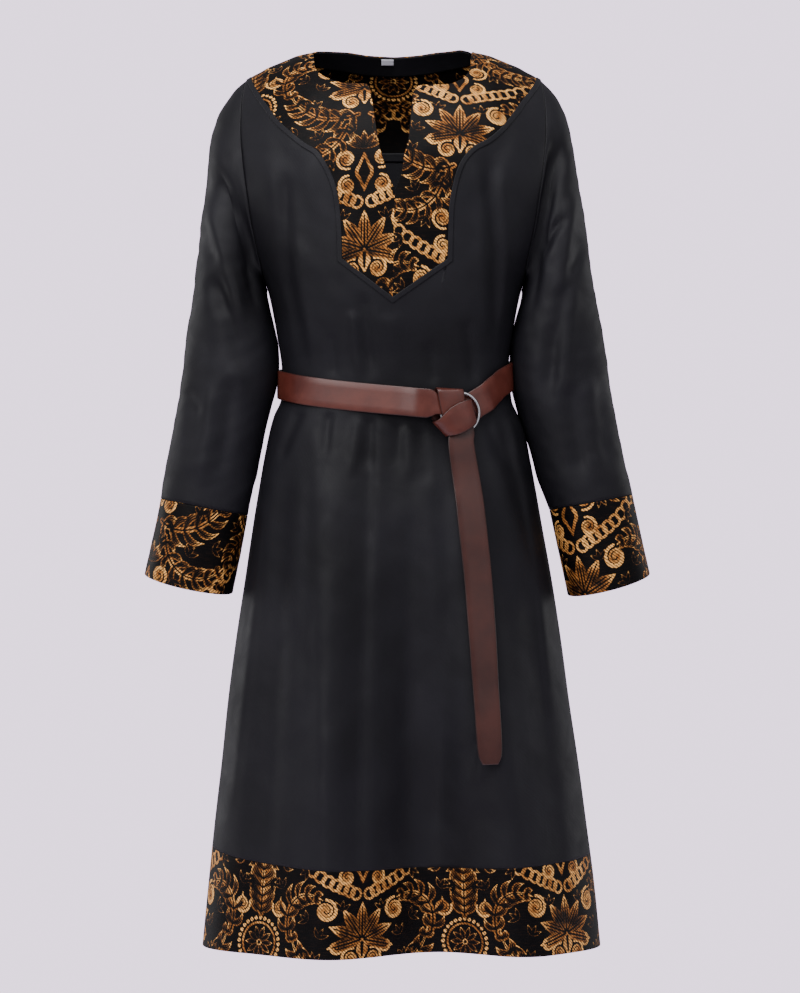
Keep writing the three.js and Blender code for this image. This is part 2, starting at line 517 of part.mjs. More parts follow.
// The hanging tail: x, z and width, from under the knot to its tip.
const STRAP_TAIL = [
  [85.9, -506, 33], [88.6, -530, 36.2], [91.8, -552, 37], [95.8, -578, 37.5], [99, -605, 38],
  [102, -633, 38], [105, -660, 37.8], [108, -692, 37.5], [110.4, -725, 37.2], [112.6, -756, 36.8],
  [114.6, -788, 36], [116.6, -820, 35], [118.8, -852, 34.5], [120.8, -884, 34], [122, -906, 31],
  [122.3, -917, 21],
];
function beltStrap() {
  const stations = [];
  for (const [l, h, q, wl, wh, width] of STRAP_START) {
    stations.push({ p: knotPoint(l, h, q), w: knotWay(wl, wh), width });
  }
  for (const [angle, z, lift] of STRAP_ROUND) {
    const [x, y] = waistAt(angle * Math.PI / 180, lift);
    const lean = STRAP_LEAN.most * smooth((STRAP_LEAN.from - angle) / STRAP_LEAN.over);
    const turn = angle * Math.PI / 180;
    stations.push({ p: [x, y, z], w: [lean * Math.cos(turn), lean * Math.sin(turn), 1], width: STRAP.width });
  }
  for (const [l, h, q, wl, wh, width] of STRAP_KNOT) {
    stations.push({ p: knotPoint(l, h, q), w: knotWay(wl, wh), width });
  }
  for (const [x, z, width] of STRAP_TAIL) {
    const y = Math.min(...[-18, -9, 0, 9, 18].map((d) => bodyY(x + d, z, -1) - Math.tan(KNOT.turn) * d));
    const rest = smooth((-506 - z) / 70);
    stations.push({ p: [x, y - mix(12, 4.2, rest), z], w: knotWay(-1, -0.1), width });
  }
  const pts = [], index = [], n = stations.length;
  stations.forEach((s, j) => {
    const a = stations[Math.max(0, j - 1)].p, b = stations[Math.min(n - 1, j + 1)].p;
    const t = new THREE.Vector3(b[0] - a[0], b[1] - a[1], b[2] - a[2]).normalize();
    const w = new THREE.Vector3(...s.w);
    w.addScaledVector(t, -w.dot(t)).normalize();
    const out = new THREE.Vector3().crossVectors(t, w).normalize();
    const c = new THREE.Vector3(...s.p);
    for (const [sw, so] of [[-1, -1], [1, -1], [1, 1], [-1, 1]]) {
      const v = c.clone().addScaledVector(w, sw * s.width / 2).addScaledVector(out, so * STRAP.thick / 2);
      pts.push([v.x, v.y, v.z]);
    }
  });
  for (let j = 0; j < n - 1; j += 1) {
    for (let c = 0; c < 4; c += 1) {
      const a = j * 4 + c, b = j * 4 + (c + 1) % 4;
      index.push(a, b + 4, b, a, a + 4, b + 4);
    }
  }
  index.push(0, 1, 2, 0, 2, 3);
  const e = (n - 1) * 4;
  index.push(e, e + 2, e + 1, e, e + 3, e + 2);
  // turn the faces outwards
  const vol = (i) => {
    let v = 0;
    for (let k = 0; k < i.length; k += 3) {
      const [a, b, c] = [pts[i[k]], pts[i[k + 1]], pts[i[k + 2]]];
      v += a[0] * (b[1] * c[2] - b[2] * c[1]) - a[1] * (b[0] * c[2] - b[2] * c[0])
        + a[2] * (b[0] * c[1] - b[1] * c[0]);
    }
    return v;
  };
  if (vol(index) < 0) {
    for (let k = 0; k < index.length; k += 3) [index[k + 1], index[k + 2]] = [index[k + 2], index[k + 1]];
  }
  return meshOf('belt_strap', pts, index, LEATHER);
}
function beltRing() {
  const around = 30, section = 8, pts = [], index = [];
  for (let j = 0; j < around; j += 1) {
    const a = 2 * Math.PI * j / around;
    for (let i = 0; i < section; i += 1) {
      const b = 2 * Math.PI * i / section, r = RING.major + RING.wire * Math.cos(b);
      pts.push(knotPoint(RING.l + r * Math.cos(a), RING.h + r * Math.sin(a),
        RING.lift + RING.wire * Math.sin(b)));
    }
  }
  for (let j = 0; j < around; j += 1) {
    for (let i = 0; i < section; i += 1) {
      const a = j * section + i, b = j * section + (i + 1) % section;
      const c = ((j + 1) % around) * section + i, d = ((j + 1) % around) * section + (i + 1) % section;
      index.push(a, c, d, a, d, b);
    }
  }
  return meshOf('belt_ring', pts, index, STEEL);
}

// ---- the whole -----------------------------------------------------------------------------
const kaftan = new THREE.Group();
kaftan.name = 'kaftan';
kaftan.add(
  panel('front_panel', -1),
  panel('back_panel', 1),
  hemBand('hem_band_front', -1),
  hemBand('hem_band_back', 1),
  yokeFront('yoke_front_left', YOKE_LEFT, -1),
  yokeFront('yoke_front_right', YOKE_RIGHT, 1),
  yokeBack(),
  neckFacing(),
  label(),
  ...sleeveAndCuff('left', SLEEVE_LEFT, CUFF_LEFT, -1),
  ...sleeveAndCuff('right', SLEEVE_RIGHT, CUFF_RIGHT, 1),
  beltStrap(),
  beltRing(),
);
export default kaftan;
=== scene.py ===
"""Looks of a belted kaftan: black satin panels and sleeves, brocade yoke, cuffs and hem band,
and a leather strap knotted through a steel ring.  Shapes are worked out in millimetres in the
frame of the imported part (+Z up, +Y to the back, origin at the neck) and meshed in metres."""

import bpy
import numpy as np
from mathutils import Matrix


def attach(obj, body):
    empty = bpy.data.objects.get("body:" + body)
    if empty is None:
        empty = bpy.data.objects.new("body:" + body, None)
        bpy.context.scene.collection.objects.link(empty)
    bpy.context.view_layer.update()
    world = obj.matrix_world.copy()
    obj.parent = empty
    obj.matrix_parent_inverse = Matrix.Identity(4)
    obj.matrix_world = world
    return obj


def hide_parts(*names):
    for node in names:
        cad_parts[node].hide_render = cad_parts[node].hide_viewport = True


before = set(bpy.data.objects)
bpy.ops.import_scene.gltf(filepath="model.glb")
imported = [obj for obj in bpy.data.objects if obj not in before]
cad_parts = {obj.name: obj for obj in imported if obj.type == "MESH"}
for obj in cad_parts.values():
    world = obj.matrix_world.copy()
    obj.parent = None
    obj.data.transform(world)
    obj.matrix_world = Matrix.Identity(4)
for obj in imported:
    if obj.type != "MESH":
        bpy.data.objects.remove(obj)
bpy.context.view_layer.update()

# ---------------------------------------------------------------------------------------------
# Front and back panels: black satin-weave cloth with a light lining, cut in one width each and
# sewn up at the sides.  The belt draws them in at the waist, and below it the cloth falls in
# long soft folds from the gathers under the strap.
# ---------------------------------------------------------------------------------------------
HEM_Z, UNDERARM_Z, TIP_Z, FAN_Z = -1160.0, -311.0, -40.0, -385.0
ROUND, SHOULDER_TURN, SEAM, HAIR = 2.3, 170.0, 0.5, 0.02     # cut edges meet SEAM apart, sides HAIR
# level sections of the body: height, left edge, right edge, depth in front, depth behind
TRUNK = [
    (-1160, -248, 268.8, 131, 132), (-1078, -240, 260.5, 131, 132), (-1000, -232, 250.3, 130, 131),
    (-922, -223, 239.9, 129, 130), (-844, -215, 228.2, 128, 129), (-766, -204.8, 217.8, 126, 128),
    (-688, -193, 205.8, 124, 127), (-610, -181.4, 191.8, 120, 125), (-571, -175, 185, 115.5, 121),
    (-532, -168.4, 177.8, 109, 114), (-493, -160.6, 170.2, 104, 103), (-473, -154.8, 161.8, 102.0, 98),
    (-456, -146.8, 154, 101.5, 96), (-440, -144, 152, 103, 96), (-422, -144.5, 149.8, 104, 96),
    (-400, -146.5, 150.5, 107, 98), (-382, -149.5, 153, 112, 101), (-350, -155, 158, 120, 106),
    (-311, -163.5, 166.3, 125, 111), (-285, -175, 177, 126, 114), (-259, -187, 189, 126, 116),
    (-194, -207, 208, 126, 118), (-103, -222, 222, 125, 118), (-44, -225, 225, 125, 118),
    (60, -228, 228, 125, 118)]
# armhole from the front: height, distance from the middle
ARMHOLE = [(-311, 163.5), (-300, 167), (-285, 170), (-259, 176), (-226, 182.5), (-194, 187),
           (-150, 193), (-103, 196.5), (-75, 196), (-40, 193)]
# shoulder ridge: distance from the middle, height in front, height behind
RIDGE = [(0, 6, 40), (60, 2.5, 24), (90, -0.6, 7.5), (107, -2.6, -2.6), (125, -6.5, -6.5),
         (138, -11.7, -11.7), (151, -17, -17), (163, -22, -22), (172, -27.3, -27.3),
         (183, -33, -33), (193, -40, -40), (204, -49, -49), (230, -80, -80)]
# long waves of the skirt: x at waist and hem, half width at waist and hem, push at the hem
WAVES_FRONT = [(-62, -90, 34, 60, 38), (-8, 55, 26, 62, -48), (72, 178, 34, 58, 24)]
WAVES_BACK = [(-80, -120, 36, 60, -24), (5, -10, 30, 62, 30), (84, 125, 34, 60, -26)]
WAVE_TOP = -495.0
# folds: push (+ stands out), half width on either side, then the fold's line in x, z
FOLDS_FRONT = [
    (5.5, 24, 13, (-96, -478), (-93, -700), (-87, -960), (-82, -1150)),
    (-8.0, 9, 26, (-28, -462), (-33, -585), (-37, -710), (-43, -963), (-44, -1158)),
    (4.0, 16, 22, (8, -520), (2, -710), (-4, -960), (-8, -1100)),
    (3.2, 5, 9, (-163, -500), (-182, -735), (-208, -963), (-224, -1048)),
    (-4.5, 13, 20, (-133, -490), (-144, -700), (-160, -1000), (-166, -1120)),
    (3.2, 12, 18, (-118, -520), (-122, -700), (-132, -940)),
    (5.0, 9, 14, (116, -474), (150, -590), (188, -715), (205, -860)),
    (-6.0, 8, 17, (128, -462), (158, -560), (180, -700), (200, -960)),
    (4.5, 14, 20, (97, -500), (128, -735), (158, -1080)),
    (-5.0, 16, 14, (60, -480), (70, -700), (62, -930), (52, -1090)),
    (-3.2, 4, 7, (112, -880), (104, -905), (98, -945)),
    (2.6, 5, 8, (116, -885), (110, -910), (106, -950)),
    (3.0, 16, 10, (212, -900), (226, -1040), (236, -1150)),
    (-3.0, 22, 22, (120, -960), (135, -1150)),
    (1.6, 30, 18, (-120, -860), (-60, -905), (-20, -900)),
    (-1.5, 26, 20, (-150, -760), (-100, -790), (-60, -780)),
    # gathers drawn out from under the belt
    (-4.5, 6, 10, (-117, -466), (-132, -500), (-148, -540)),
    (-3.5, 5, 8, (-80, -470), (-84, -500), (-86, -535)),
    (-4.2, 5, 8, (-28, -474), (-30, -505), (-32, -550)),
    (3.2, 6, 7, (-44, -476), (-48, -510), (-54, -560)),
    (-2.8, 6, 7, (6, -480), (6, -510), (4, -545)),
    (-3.0, 6, 8, (34, -486), (38, -520), (44, -570)),
    (3.0, 7, 7, (20, -486), (20, -520), (18, -565)),
    (-4.0, 6, 9, (112, -466), (126, -500), (142, -545)),
    (3.2, 5, 7, (140, -452), (154, -490), (166, -540)),
    (-2.8, 5, 6, (-146, -458), (-156, -490), (-162, -530)),
    # above the belt and on the chest
    (-5.5, 7, 12, (-137, -160), (-133, -300), (-116, -372), (-110, -432)),
    (3.6, 10, 8, (-124, -240), (-118, -330), (-102, -420)),
    (-4.2, 6, 9, (-36, -318), (-34, -370), (-26, -436)),
    (3.0, 8, 7, (-52, -340), (-48, -390), (-40, -436)),
    (-2.6, 6, 8, (-78, -370), (-76, -400), (-72, -436)),
    (-3.8, 8, 8, (92, -350), (98, -390), (104, -446)),
    (4.2, 9, 11, (106, -150), (116, -280), (122, -400)),
    (-5.0, 10, 13, (120, -120), (130, -260), (128, -360), (124, -428)),
    (3.4, 7, 9, (138, -150), (144, -270), (140, -400)),
    (-2.6, 6, 8, (46, -380), (48, -410), (52, -444)),
    (2.2, 12, 14, (-8, -345), (0, -390), (4, -436)),
    (-2.4, 14, 18, (-150, -120), (-120, -190), (-96, -290)),
    (2.0, 16, 16, (-166, -130), (-150, -210), (-140, -290)),
    (-2.2, 12, 16, (150, -110), (108, -200), (92, -300)),
    (-3.0, 9, 12, (-164, -290), (-150, -330), (-140, -400)),
    (-3.0, 9, 12, (166, -285), (154, -330), (146, -395)),
]
FOLDS_BACK = [
    (5.0, 22, 14, (-60, -480), (-72, -720), (-78, -1150)),
    (-6.5, 10, 24, (-24, -462), (-34, -640), (-46, -900), (-52, -1155)),
    (5.0, 18, 22, (16, -500), (6, -760), (0, -1140)),
    (-5.5, 24, 11, (52, -465), (62, -700), (74, -1150)),
    (4.5, 14, 20, (92, -480), (112, -740), (140, -1120)),
    (-5.0, 10, 18, (118, -462), (146, -640), (176, -1060)),
    (-5.0, 18, 10, (-112, -462), (-142, -660), (-176, -1080)),
    (4.0, 16, 12, (-140, -500), (-178, -760), (-205, -1100)),
    (-4.0, 6, 9, (-86, -466), (-92, -510), (-96, -560)),
    (-3.4, 6, 8, (-6, -466), (-8, -510), (-10, -565)),
    (3.0, 6, 8, (30, -468), (34, -510), (38, -560)),
    (-3.4, 6, 9, (82, -466), (92, -515), (100, -570)),
    (3.0, 6, 8, (134, -462), (148, -505), (160, -560)),
    (-3.6, 8, 10, (-96, -330), (-92, -380), (-84, -430)),
    (3.4, 9, 9, (-70, -300), (-64, -360), (-58, -430)),
    (-4.2, 8, 10, (-34, -320), (-30, -370), (-26, -430)),
    (-3.4, 8, 10, (40, -340), (42, -390), (44, -430)),
    (4.0, 9, 9, (72, -290), (76, -350), (80, -430)),
    (-4.6, 9, 12, (116, -200), (112, -300), (104, -428)),
    (-4.6, 12, 9, (-128, -190), (-126, -290), (-118, -428)),
    (-3.0, 12, 14, (-150, -150), (-90, -230), (-20, -262)),
    (-2.6, 14, 12, (150, -160), (96, -236), (30, -266)),
    (2.4, 18, 16, (-60, -200), (0, -230), (64, -206)),
]


def smooth(t):
    """Eased step: 0 below 0, 1 above 1, and 3t^2 - 2t^3 between."""
    t = np.clip(t, 0.0, 1.0)
    return t * t * (3 - 2 * t)


def mix(a, b, t):
    """Straight blend from a to b."""
    return a + (b - a) * t


def look(rows, at, column=1):
    """Smooth reading of a table: a cubic between rows, whose slope at each row is the harmonic
    mean of the steps on either side, and flat where those steps differ in sign."""
    table = np.array(sorted(rows), float)
    x, y = table[:, 0], table[:, column]
    at = np.clip(at, x[0], x[-1])
    step = np.diff(y) / np.diff(x)
    product = step[:-1] * step[1:]
    total = np.where(product > 0, step[:-1] + step[1:], 1.0)
    slope = np.concatenate(([step[0]], np.where(product > 0, 2 * product / total, 0), [step[-1]]))
    k = np.clip(np.searchsorted(x, at, side="right") - 1, 0, len(x) - 2)
    h = x[k + 1] - x[k]
    t = (at - x[k]) / h
    return (y[k] * (2 * t**3 - 3 * t**2 + 1) + y[k + 1] * (3 * t**2 - 2 * t**3)
            + h * (slope[k] * (t**3 - 2 * t**2 + t) + slope[k + 1] * (t**3 - t**2)))


def fold_push(rows, x, z):
    """Sum of folds.  Each falls off from its line as exp(-(distance / half width)^2), with its
    own half width on each side, and eases in and out over the ends of the line."""
    push = np.zeros_like(x)
    for depth, wide_a, wide_b, *line in rows:
        line = np.array(line, float)
        steps = np.hypot(*np.diff(line, axis=0).T)
        best, along = np.full(x.shape, 1e9), np.zeros_like(x)
        for k, (a, b) in enumerate(zip(line[:-1], line[1:])):
            d = b - a
            t = np.clip(((x - a[0]) * d[0] + (z - a[1]) * d[1]) / (d @ d), 0, 1)
            ex, ez = x - a[0] - t * d[0], z - a[1] - t * d[1]
            signed = np.hypot(ex, ez) * np.where(d[0] * ez - d[1] * ex > 0, 1, -1)
            near = np.abs(signed) < np.abs(best)
            best = np.where(near, signed, best)
            along = np.where(near, (steps[:k].sum() + t * steps[k]) / steps.sum(), along)
        wide = np.where(best > 0, wide_a, wide_b)
        push += depth * smooth(along / 0.16) * smooth((1 - along) / 0.3) * np.exp(-(best / wide)**2)
    return push


def unevenness(u, v, size, seed):
    """Soft noise in -1..1: nine sine waves of random heading, phase and length near `size`."""
    r = np.random.default_rng(seed)
    total = 0
    for _ in range(9):
        heading, phase, length = r.uniform(0, np.pi), r.uniform(0, 6.28), size * r.uniform(0.6, 1.7)
        total = total + np.sin(6.283 * (u * np.cos(heading) + v * np.sin(heading)) / length + phase)
    return total / 4.5


def skirt_wave(rows, x, z):
    """Long waves: bells across x whose place, width and push change evenly from waist to hem."""
    t = np.clip((WAVE_TOP - z) / (WAVE_TOP - HEM_Z), 0, 1)
    push = np.zeros_like(x)
    for x_top, x_hem, wide_top, wide_hem, most in rows:
        push += most * t**0.9 * np.exp(-((x - mix(x_top, x_hem, t)) / mix(wide_top, wide_hem, t))**2)
    return push


def arm_x(z, hand):
    """Armhole's distance from the middle at a height, 2.8 mm wider low on the right."""
    return hand * (look(ARMHOLE, z) + (2.8 * (1 - smooth((z - UNDERARM_Z) / 40)) if hand > 0 else 0))


def body_y(x, z, side, folds=True):
    """Depth of the cloth at x, z: a squared-off ellipse across, turned over the shoulder as a
    sine to the 0.6, plus the skirt's waves and the folds, which fade out at seams and belt."""
    left, right = look(TRUNK, z, 1), look(TRUNK, z, 2)
    u = np.clip(np.abs(x - (left + right) / 2) / ((right - left) / 2), 0, 1)
    section = (1 - u**ROUND)**(1 / ROUND)
    ridge = look(RIDGE, np.abs(x), 1 if side < 0 else 2)
    q = np.clip((ridge - z) / SHOULDER_TURN, 0, 1)
    y = look(TRUNK, z, 3 if side < 0 else 4) * section * np.sin(q * np.pi / 2)**0.6
    waves = WAVES_FRONT if side < 0 else WAVES_BACK
    y = y + skirt_wave(waves, x, z) * np.minimum(1, section * 1.3)
    if folds:
        fine = fold_push(FOLDS_FRONT if side < 0 else FOLDS_BACK, x, z)
        below = smooth((-480 - z) / 120)
        fine = fine + (0.7 + 1.1 * below) * unevenness(x, z * 0.45, 95, 3 if side < 0 else 4)
        fine = fine + 0.45 * unevenness(x, z * 0.7, 34, 5 if side < 0 else 6)
        edge = np.where(z > UNDERARM_Z, (np.abs(arm_x(z, 1)) - np.abs(x)) / 16, (1 - u) * 9)
        over_ridge = smooth(q * SHOULDER_TURN / 26)
        y = y + fine * smooth(edge) * over_ridge * np.minimum(1, section * 1.6) * (1 - belt_grip(x, z, side))
    return side * (y + HAIR)


# middle line of the belt round the body: angle from the front, height
BELT_LINE = [(-180, -425), (-150, -427), (-120, -429), (-92, -433), (-66, -438), (-40, -446),
             (-14, -454), (10, -462), (35, -466), (60, -452), (79, -432), (92, -421), (120, -422),
             (150, -424), (180, -425)]


def belt_grip(x, z, side):
    """1 where the strap presses the cloth flat and 0 past 26 mm from its middle line."""
    angle = np.degrees(np.arctan2(np.clip(x, -149, 149) / 150, side * -0.75))
    return 1 - smooth((np.abs(z - look(BELT_LINE, angle)) - 16) / 11)


def ridge_point(x):
    """Point of the shoulder ridge."""
    return np.stack([x, look(RIDGE, np.abs(x))], -1)


# front yoke, from its point to the shoulder: row, outer x, outer z, inner x, inner z
YOKE_LEFT = [
    (0, -64.5, -278, -0.8, -326.5), (1, -65, -252, -0.4, -282.5), (2, -66.4, -225.6, 0.4, -239.5),
    (3, -70.2, -195, 1.5, -196.5), (4, -80.5, -165.3, -7, -173.3), (5, -97.3, -140, -12.7, -155),
    (6, -112.5, -130, -17.8, -136.5), (7, -130.8, -114.3, -23, -105.8),
    (8, -147.8, -97.5, -26.8, -79.4), (9, -161.2, -77.6, -30, -60.4),
    (10, -169.4, -65.2, -35.2, -52.2), (11, -175, -56.4, -62, -50.5),
    (12, -179.3, -48.6, -89.5, -40.4), (13, -182.7, -41, -101.4, -27), (14, -186, -35, -107, -2.6)]
YOKE_RIGHT = [
    (0, 68.6, -278, -0.4, -326.5), (1, 69.3, -248, 0, -282.5), (2, 70.2, -216.7, 0.8, -239.5),
    (3, 74, -190, 2.3, -196.5), (4, 84.3, -156.4, 11.4, -168.3), (5, 103.7, -133.5, 14, -150),
    (6, 117.6, -126, 19.7, -126.4), (7, 134.6, -111.7, 22.3, -99.5), (8, 150.4, -92.4, 24.3, -79.4),
    (9, 163.8, -72.5, 25.6, -66.8), (10, 172, -61.3, 34.6, -54.2), (11, 177.5, -53.1, 67.3, -52.4),
    (12, 181.2, -47.3, 85.6, -45.7), (13, 184.2, -40.5, 98.9, -29), (14, 186, -35, 103.4, -2.6)]


def yoke_outline(rows, r, column):
    """Outer (column 1) or inner (column 3) edge of a yoke half at row r, ending on the ridge."""
    p = np.stack([look(rows, r, column), look(rows, r, column + 1)], -1)
    on_ridge = ridge_point(p[..., 0])
    return mix(p, on_ridge, smooth(r - 13)[..., None])


def back_yoke_edge(t):
    """Lower edge of the back yoke, shoulder to shoulder: x is a cosine to the 0.8 and the drop a
    sine to the 0.8 of the same turn."""
    c, s = np.cos(np.pi * t), np.sin(np.pi * t)
    edge = np.stack([-186 * np.sign(c) * np.abs(c)**0.8, -35 - 92 * np.abs(s)**0.8], -1)
    return np.where((np.abs(s) < 1e-6)[..., None], ridge_point(edge[..., 0]), edge)


def panel_top(s, side):
    """Upper edge of a panel for s from 0 to 1: shoulder tip, along the yoke's seam, other tip."""
    if side > 0:
        t = np.clip((s * 24 - 1) / 22, 0, 1)
        middle, ends = back_yoke_edge(t), (s * 24 < 1) | (s * 24 > 23)
        x_end = np.where(s < 0.5, mix(-193, -186, s * 24), mix(193, 186, (1 - s) * 24))
    else:
        k = s * 36
        left = yoke_outline(YOKE_LEFT, np.clip(15 - k, 0, 14), 1)
        right = yoke_outline(YOKE_RIGHT, np.clip(k - 21, 0, 14), 1)
        point = np.array([-0.6, -326.5])
        corner_l, corner_r = np.array(YOKE_LEFT[0][1:3]), np.array(YOKE_RIGHT[0][1:3])
        down = mix(corner_l, point, np.clip((k - 15) / 3, 0, 1)[..., None])
        up = mix(point, corner_r, np.clip((k - 18) / 3, 0, 1)[..., None])
        middle = np.where((k < 15)[..., None], left, np.where((k < 18)[..., None], down,
                          np.where((k < 21)[..., None], up, right)))
        ends = (k < 1) | (k > 35)
        x_end = np.where(s < 0.5, mix(-193, -186, k), mix(193, 186, 36 - k))
    return np.where(ends[..., None], ridge_point(x_end), middle)


def across(s, z, side):
    """Share of the half width at column s: an even turn, drawn towards the placket's corners
    near the fan level in front."""
    even = np.sin((s - 0.5) * np.pi)
    if side > 0:
        return even + 0 * z
    a, corner = np.abs(2 * s - 1), 1 / 6
    drawn = np.sign(2 * s - 1) * np.where(a <= corner, 0.3 * a / corner,
        0.3 + 0.7 * np.clip((a - corner) / (1 - corner), 0, 1)**0.92)
    return mix(even, mix(even, drawn, 0.85), 1 - smooth((FAN_Z - z) / 190))


def level(u, z):
    """x of a share u of the half width at height z."""
    left, right = look(TRUNK, z, 1), look(TRUNK, z, 2)
    return (left + right) / 2 + u * (right - left) / 2


def band_top(u, side):
    """Height of the hem band's seam: it dips at the middle."""
    return mix(mix(-1031, -1041, (u + 1) / 2), -1052 if side < 0 else -1040, (1 - u * u)**0.6)


def panel_grid(side, columns, low_rows, fan_rows):
    """Rows of x, z from the hem seam up.  Below the fan level the rows are level; above it the
    grid is a patch between the level row, the armholes and the yoke's seam, each edge's shape
    carried inwards."""
    s = np.linspace(0, 1, columns)[None, :]
    u_seam = across(s, np.array([[-1050.0]]), side)
    z0 = band_top(u_seam, side) + SEAM
    t = np.linspace(0, 1, low_rows)[:, None]
    z = mix(z0, FAN_Z, t)
    low = np.stack([level(across(s, z, side), z), z], -1)
    # side edge: up the side seam, then round the armhole by even turns
    v = np.linspace(0, 1, fan_rows)[1:]
    edges = []
    for hand in (-1, 1):
        ze = np.concatenate([np.linspace(FAN_Z, UNDERARM_Z, 40)[:-1],
                             (UNDERARM_Z + TIP_Z) / 2 - (TIP_Z - UNDERARM_Z) / 2
                             * np.cos(np.linspace(0, np.pi, 120))])
        xe = np.where(ze <= UNDERARM_Z, look(TRUNK, ze, 1 if hand < 0 else 2), arm_x(ze, hand))
        way = np.concatenate([[0], np.cumsum(np.hypot(np.diff(xe), np.diff(ze)))])
        edges.append(np.stack([np.interp(v * way[-1], way, xe), np.interp(v * way[-1], way, ze)], -1))
    bottom, top = low[-1], panel_top(s[0], side)
    left, right = edges[0][:, None, :], edges[1][:, None, :]
    s2, v2 = s[0][None, :, None], v[:, None, None]
    fan = (mix(bottom, top, v2) + mix(left, right, s2)
           - mix(mix(bottom[0], bottom[-1], s2), mix(top[0], top[-1], s2), v2))
    return np.concatenate([low, fan])


def on_body(xz, side):
    """Points of the cloth over a grid of x, z."""
    x, z = xz[..., 0], xz[..., 1]
    return np.stack([x, body_y(x, z, side), z], -1)


def laid_flat(points):
    """Cut-out coordinates in metres: along a row and up a column, by length on the cloth."""
    u = np.concatenate([np.zeros((points.shape[0], 1)),
                        np.cumsum(np.linalg.norm(np.diff(points, axis=1), axis=-1), 1)], 1)
    v = np.concatenate([np.zeros((1, points.shape[1])),
                        np.cumsum(np.linalg.norm(np.diff(points, axis=0), axis=-1), 0)], 0)
    u = np.broadcast_to((u - u[:, u.shape[1] // 2][:, None]).mean(0), u.shape)
    return np.stack([u, np.broadcast_to(v.mean(1)[:, None], v.shape)], -1) / 1000


def cloth(name, points, flat, material, thick, wrap=False, facts=None):
    """A sheet of cloth from a grid of points in millimetres, turned so that its faces look
    outwards.  Solidify gives it its thickness inwards; a sheet of thickness 0 has rolled edges
    instead.  `facts` are numbers kept on each point."""
    rows, cols = points.shape[:2]
    last = cols if wrap else cols - 1
    i, j = np.meshgrid(np.arange(last), np.arange(rows - 1))
    a, b = j * cols + i, j * cols + (i + 1) % cols
    quads = np.stack([a, b, b + cols, a + cols], -1).reshape(-1, 4)
    p = points.reshape(-1, 3) / 1000
    middle = p.mean(0)
    normal = np.cross(p[quads[:, 1]] - p[quads[:, 0]], p[quads[:, 3]] - p[quads[:, 0]])
    if (normal * (p[quads[:, 0]] - [middle[0] if wrap else 0, 0, middle[2]])).sum() < 0:
        quads = quads[:, ::-1]
    mesh = bpy.data.meshes.new(name)
    mesh.vertices.add(len(p))
    mesh.vertices.foreach_set("co", p.astype(np.float32).ravel())
    mesh.loops.add(quads.size)
    mesh.loops.foreach_set("vertex_index", quads.astype(np.int32).ravel())
    mesh.polygons.add(len(quads))
    mesh.polygons.foreach_set("loop_start", np.arange(0, quads.size, 4, dtype=np.int32))
    mesh.update()
    mesh.polygons.foreach_set("use_smooth", np.ones(len(quads), bool))
    uv = mesh.uv_layers.new(name="cut")
    per_corner = flat.reshape(-1, 2)[quads.ravel()].astype(np.float32)
    if wrap:
        # the last column of faces runs on past the first column's points
        corner_col = quads.reshape(-1) % cols
        face_last = np.repeat((quads % cols).max(1) - (quads % cols).min(1) > 1, 4)
        girth = flat[0, -1, 0] - flat[0, 0, 0] + (flat[0, 1, 0] - flat[0, 0, 0])
        per_corner[:, 0] += np.where(face_last & (corner_col == 0), girth, 0)
    uv.data.foreach_set("uv", per_corner.ravel())
    for key, values in (facts or {}).items():
        layer = mesh.attributes.new(key, "FLOAT", "POINT")
        layer.data.foreach_set("value", values.astype(np.float32).ravel())
    mesh.materials.append(material)
    piece = bpy.data.objects.new(name, mesh)
    bpy.context.scene.collection.objects.link(piece)
    if thick:
        wall = piece.modifiers.new("thickness", "SOLIDIFY")
        wall.thickness, wall.offset = thick / 1000, -1
    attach(piece, "root")
    return piece


def hex_linear(text):
    """sRGB hex colour as linear RGBA."""
    c = np.array([int(text[k:k + 2], 16) / 255 for k in (1, 3, 5)])
    return (*np.where(c <= 0.04045, c / 12.92, ((c + 0.055) / 1.055)**2.4), 1.0)


def add(tree, kind, sockets=None, **settings):
    """Adds a node: settings are the node's own, and sockets holds values, or outputs to link."""
    made = tree.nodes.new(kind)
    for key, value in settings.items():
        setattr(made, key, value)
    for key, value in (sockets or {}).items():
        if isinstance(value, bpy.types.NodeSocket):
            tree.links.new(value, made.inputs[key])
        else:
            made.inputs[key].default_value = value
    return made


def new_material(name):
    """An empty node material with its output, and the tree to fill."""
    material = bpy.data.materials.new(name)
    material.use_nodes = True
    material.node_tree.nodes.clear()
    return material, material.node_tree


# Black satin-weave cloth: long floats give a soft, broad sheen on a near-black ground.  A real float
# is 0.5 mm wide; here bands 4 mm apart stand for it.  The crumple's waves are about 40 mm.
satin, t = new_material("black satin weave")
cut = add(t, "ShaderNodeUVMap", uv_map="cut").outputs["UV"]
place = add(t, "ShaderNodeTexCoord").outputs["Object"]
crumple = add(t, "ShaderNodeTexNoise", {"Vector": place, "Scale": 26.0, "Detail": 4.0,
                                        "Roughness": 0.55, "Distortion": 0.6})
soft = add(t, "ShaderNodeTexNoise", {"Vector": place, "Scale": 7.0, "Detail": 2.0})
floats = add(t, "ShaderNodeTexWave", {"Vector": cut, "Scale": 110.0, "Distortion": 1.2,
                                      "Detail": 1.5, "Detail Scale": 2.0},
             wave_type="BANDS", bands_direction="DIAGONAL")
shade = add(t, "ShaderNodeValToRGB", {"Fac": soft.outputs["Fac"]})
shade.color_ramp.elements[0].color = hex_linear("#0d0c10")
shade.color_ramp.elements[1].color = hex_linear("#17161b")
shade.color_ramp.elements[0].position, shade.color_ramp.elements[1].position = 0.3, 0.7
gloss = add(t, "ShaderNodeMapRange", {"Value": crumple.outputs["Fac"], "From Min": 0.3,
                                      "From Max": 0.7, "To Min": 0.52, "To Max": 0.66})
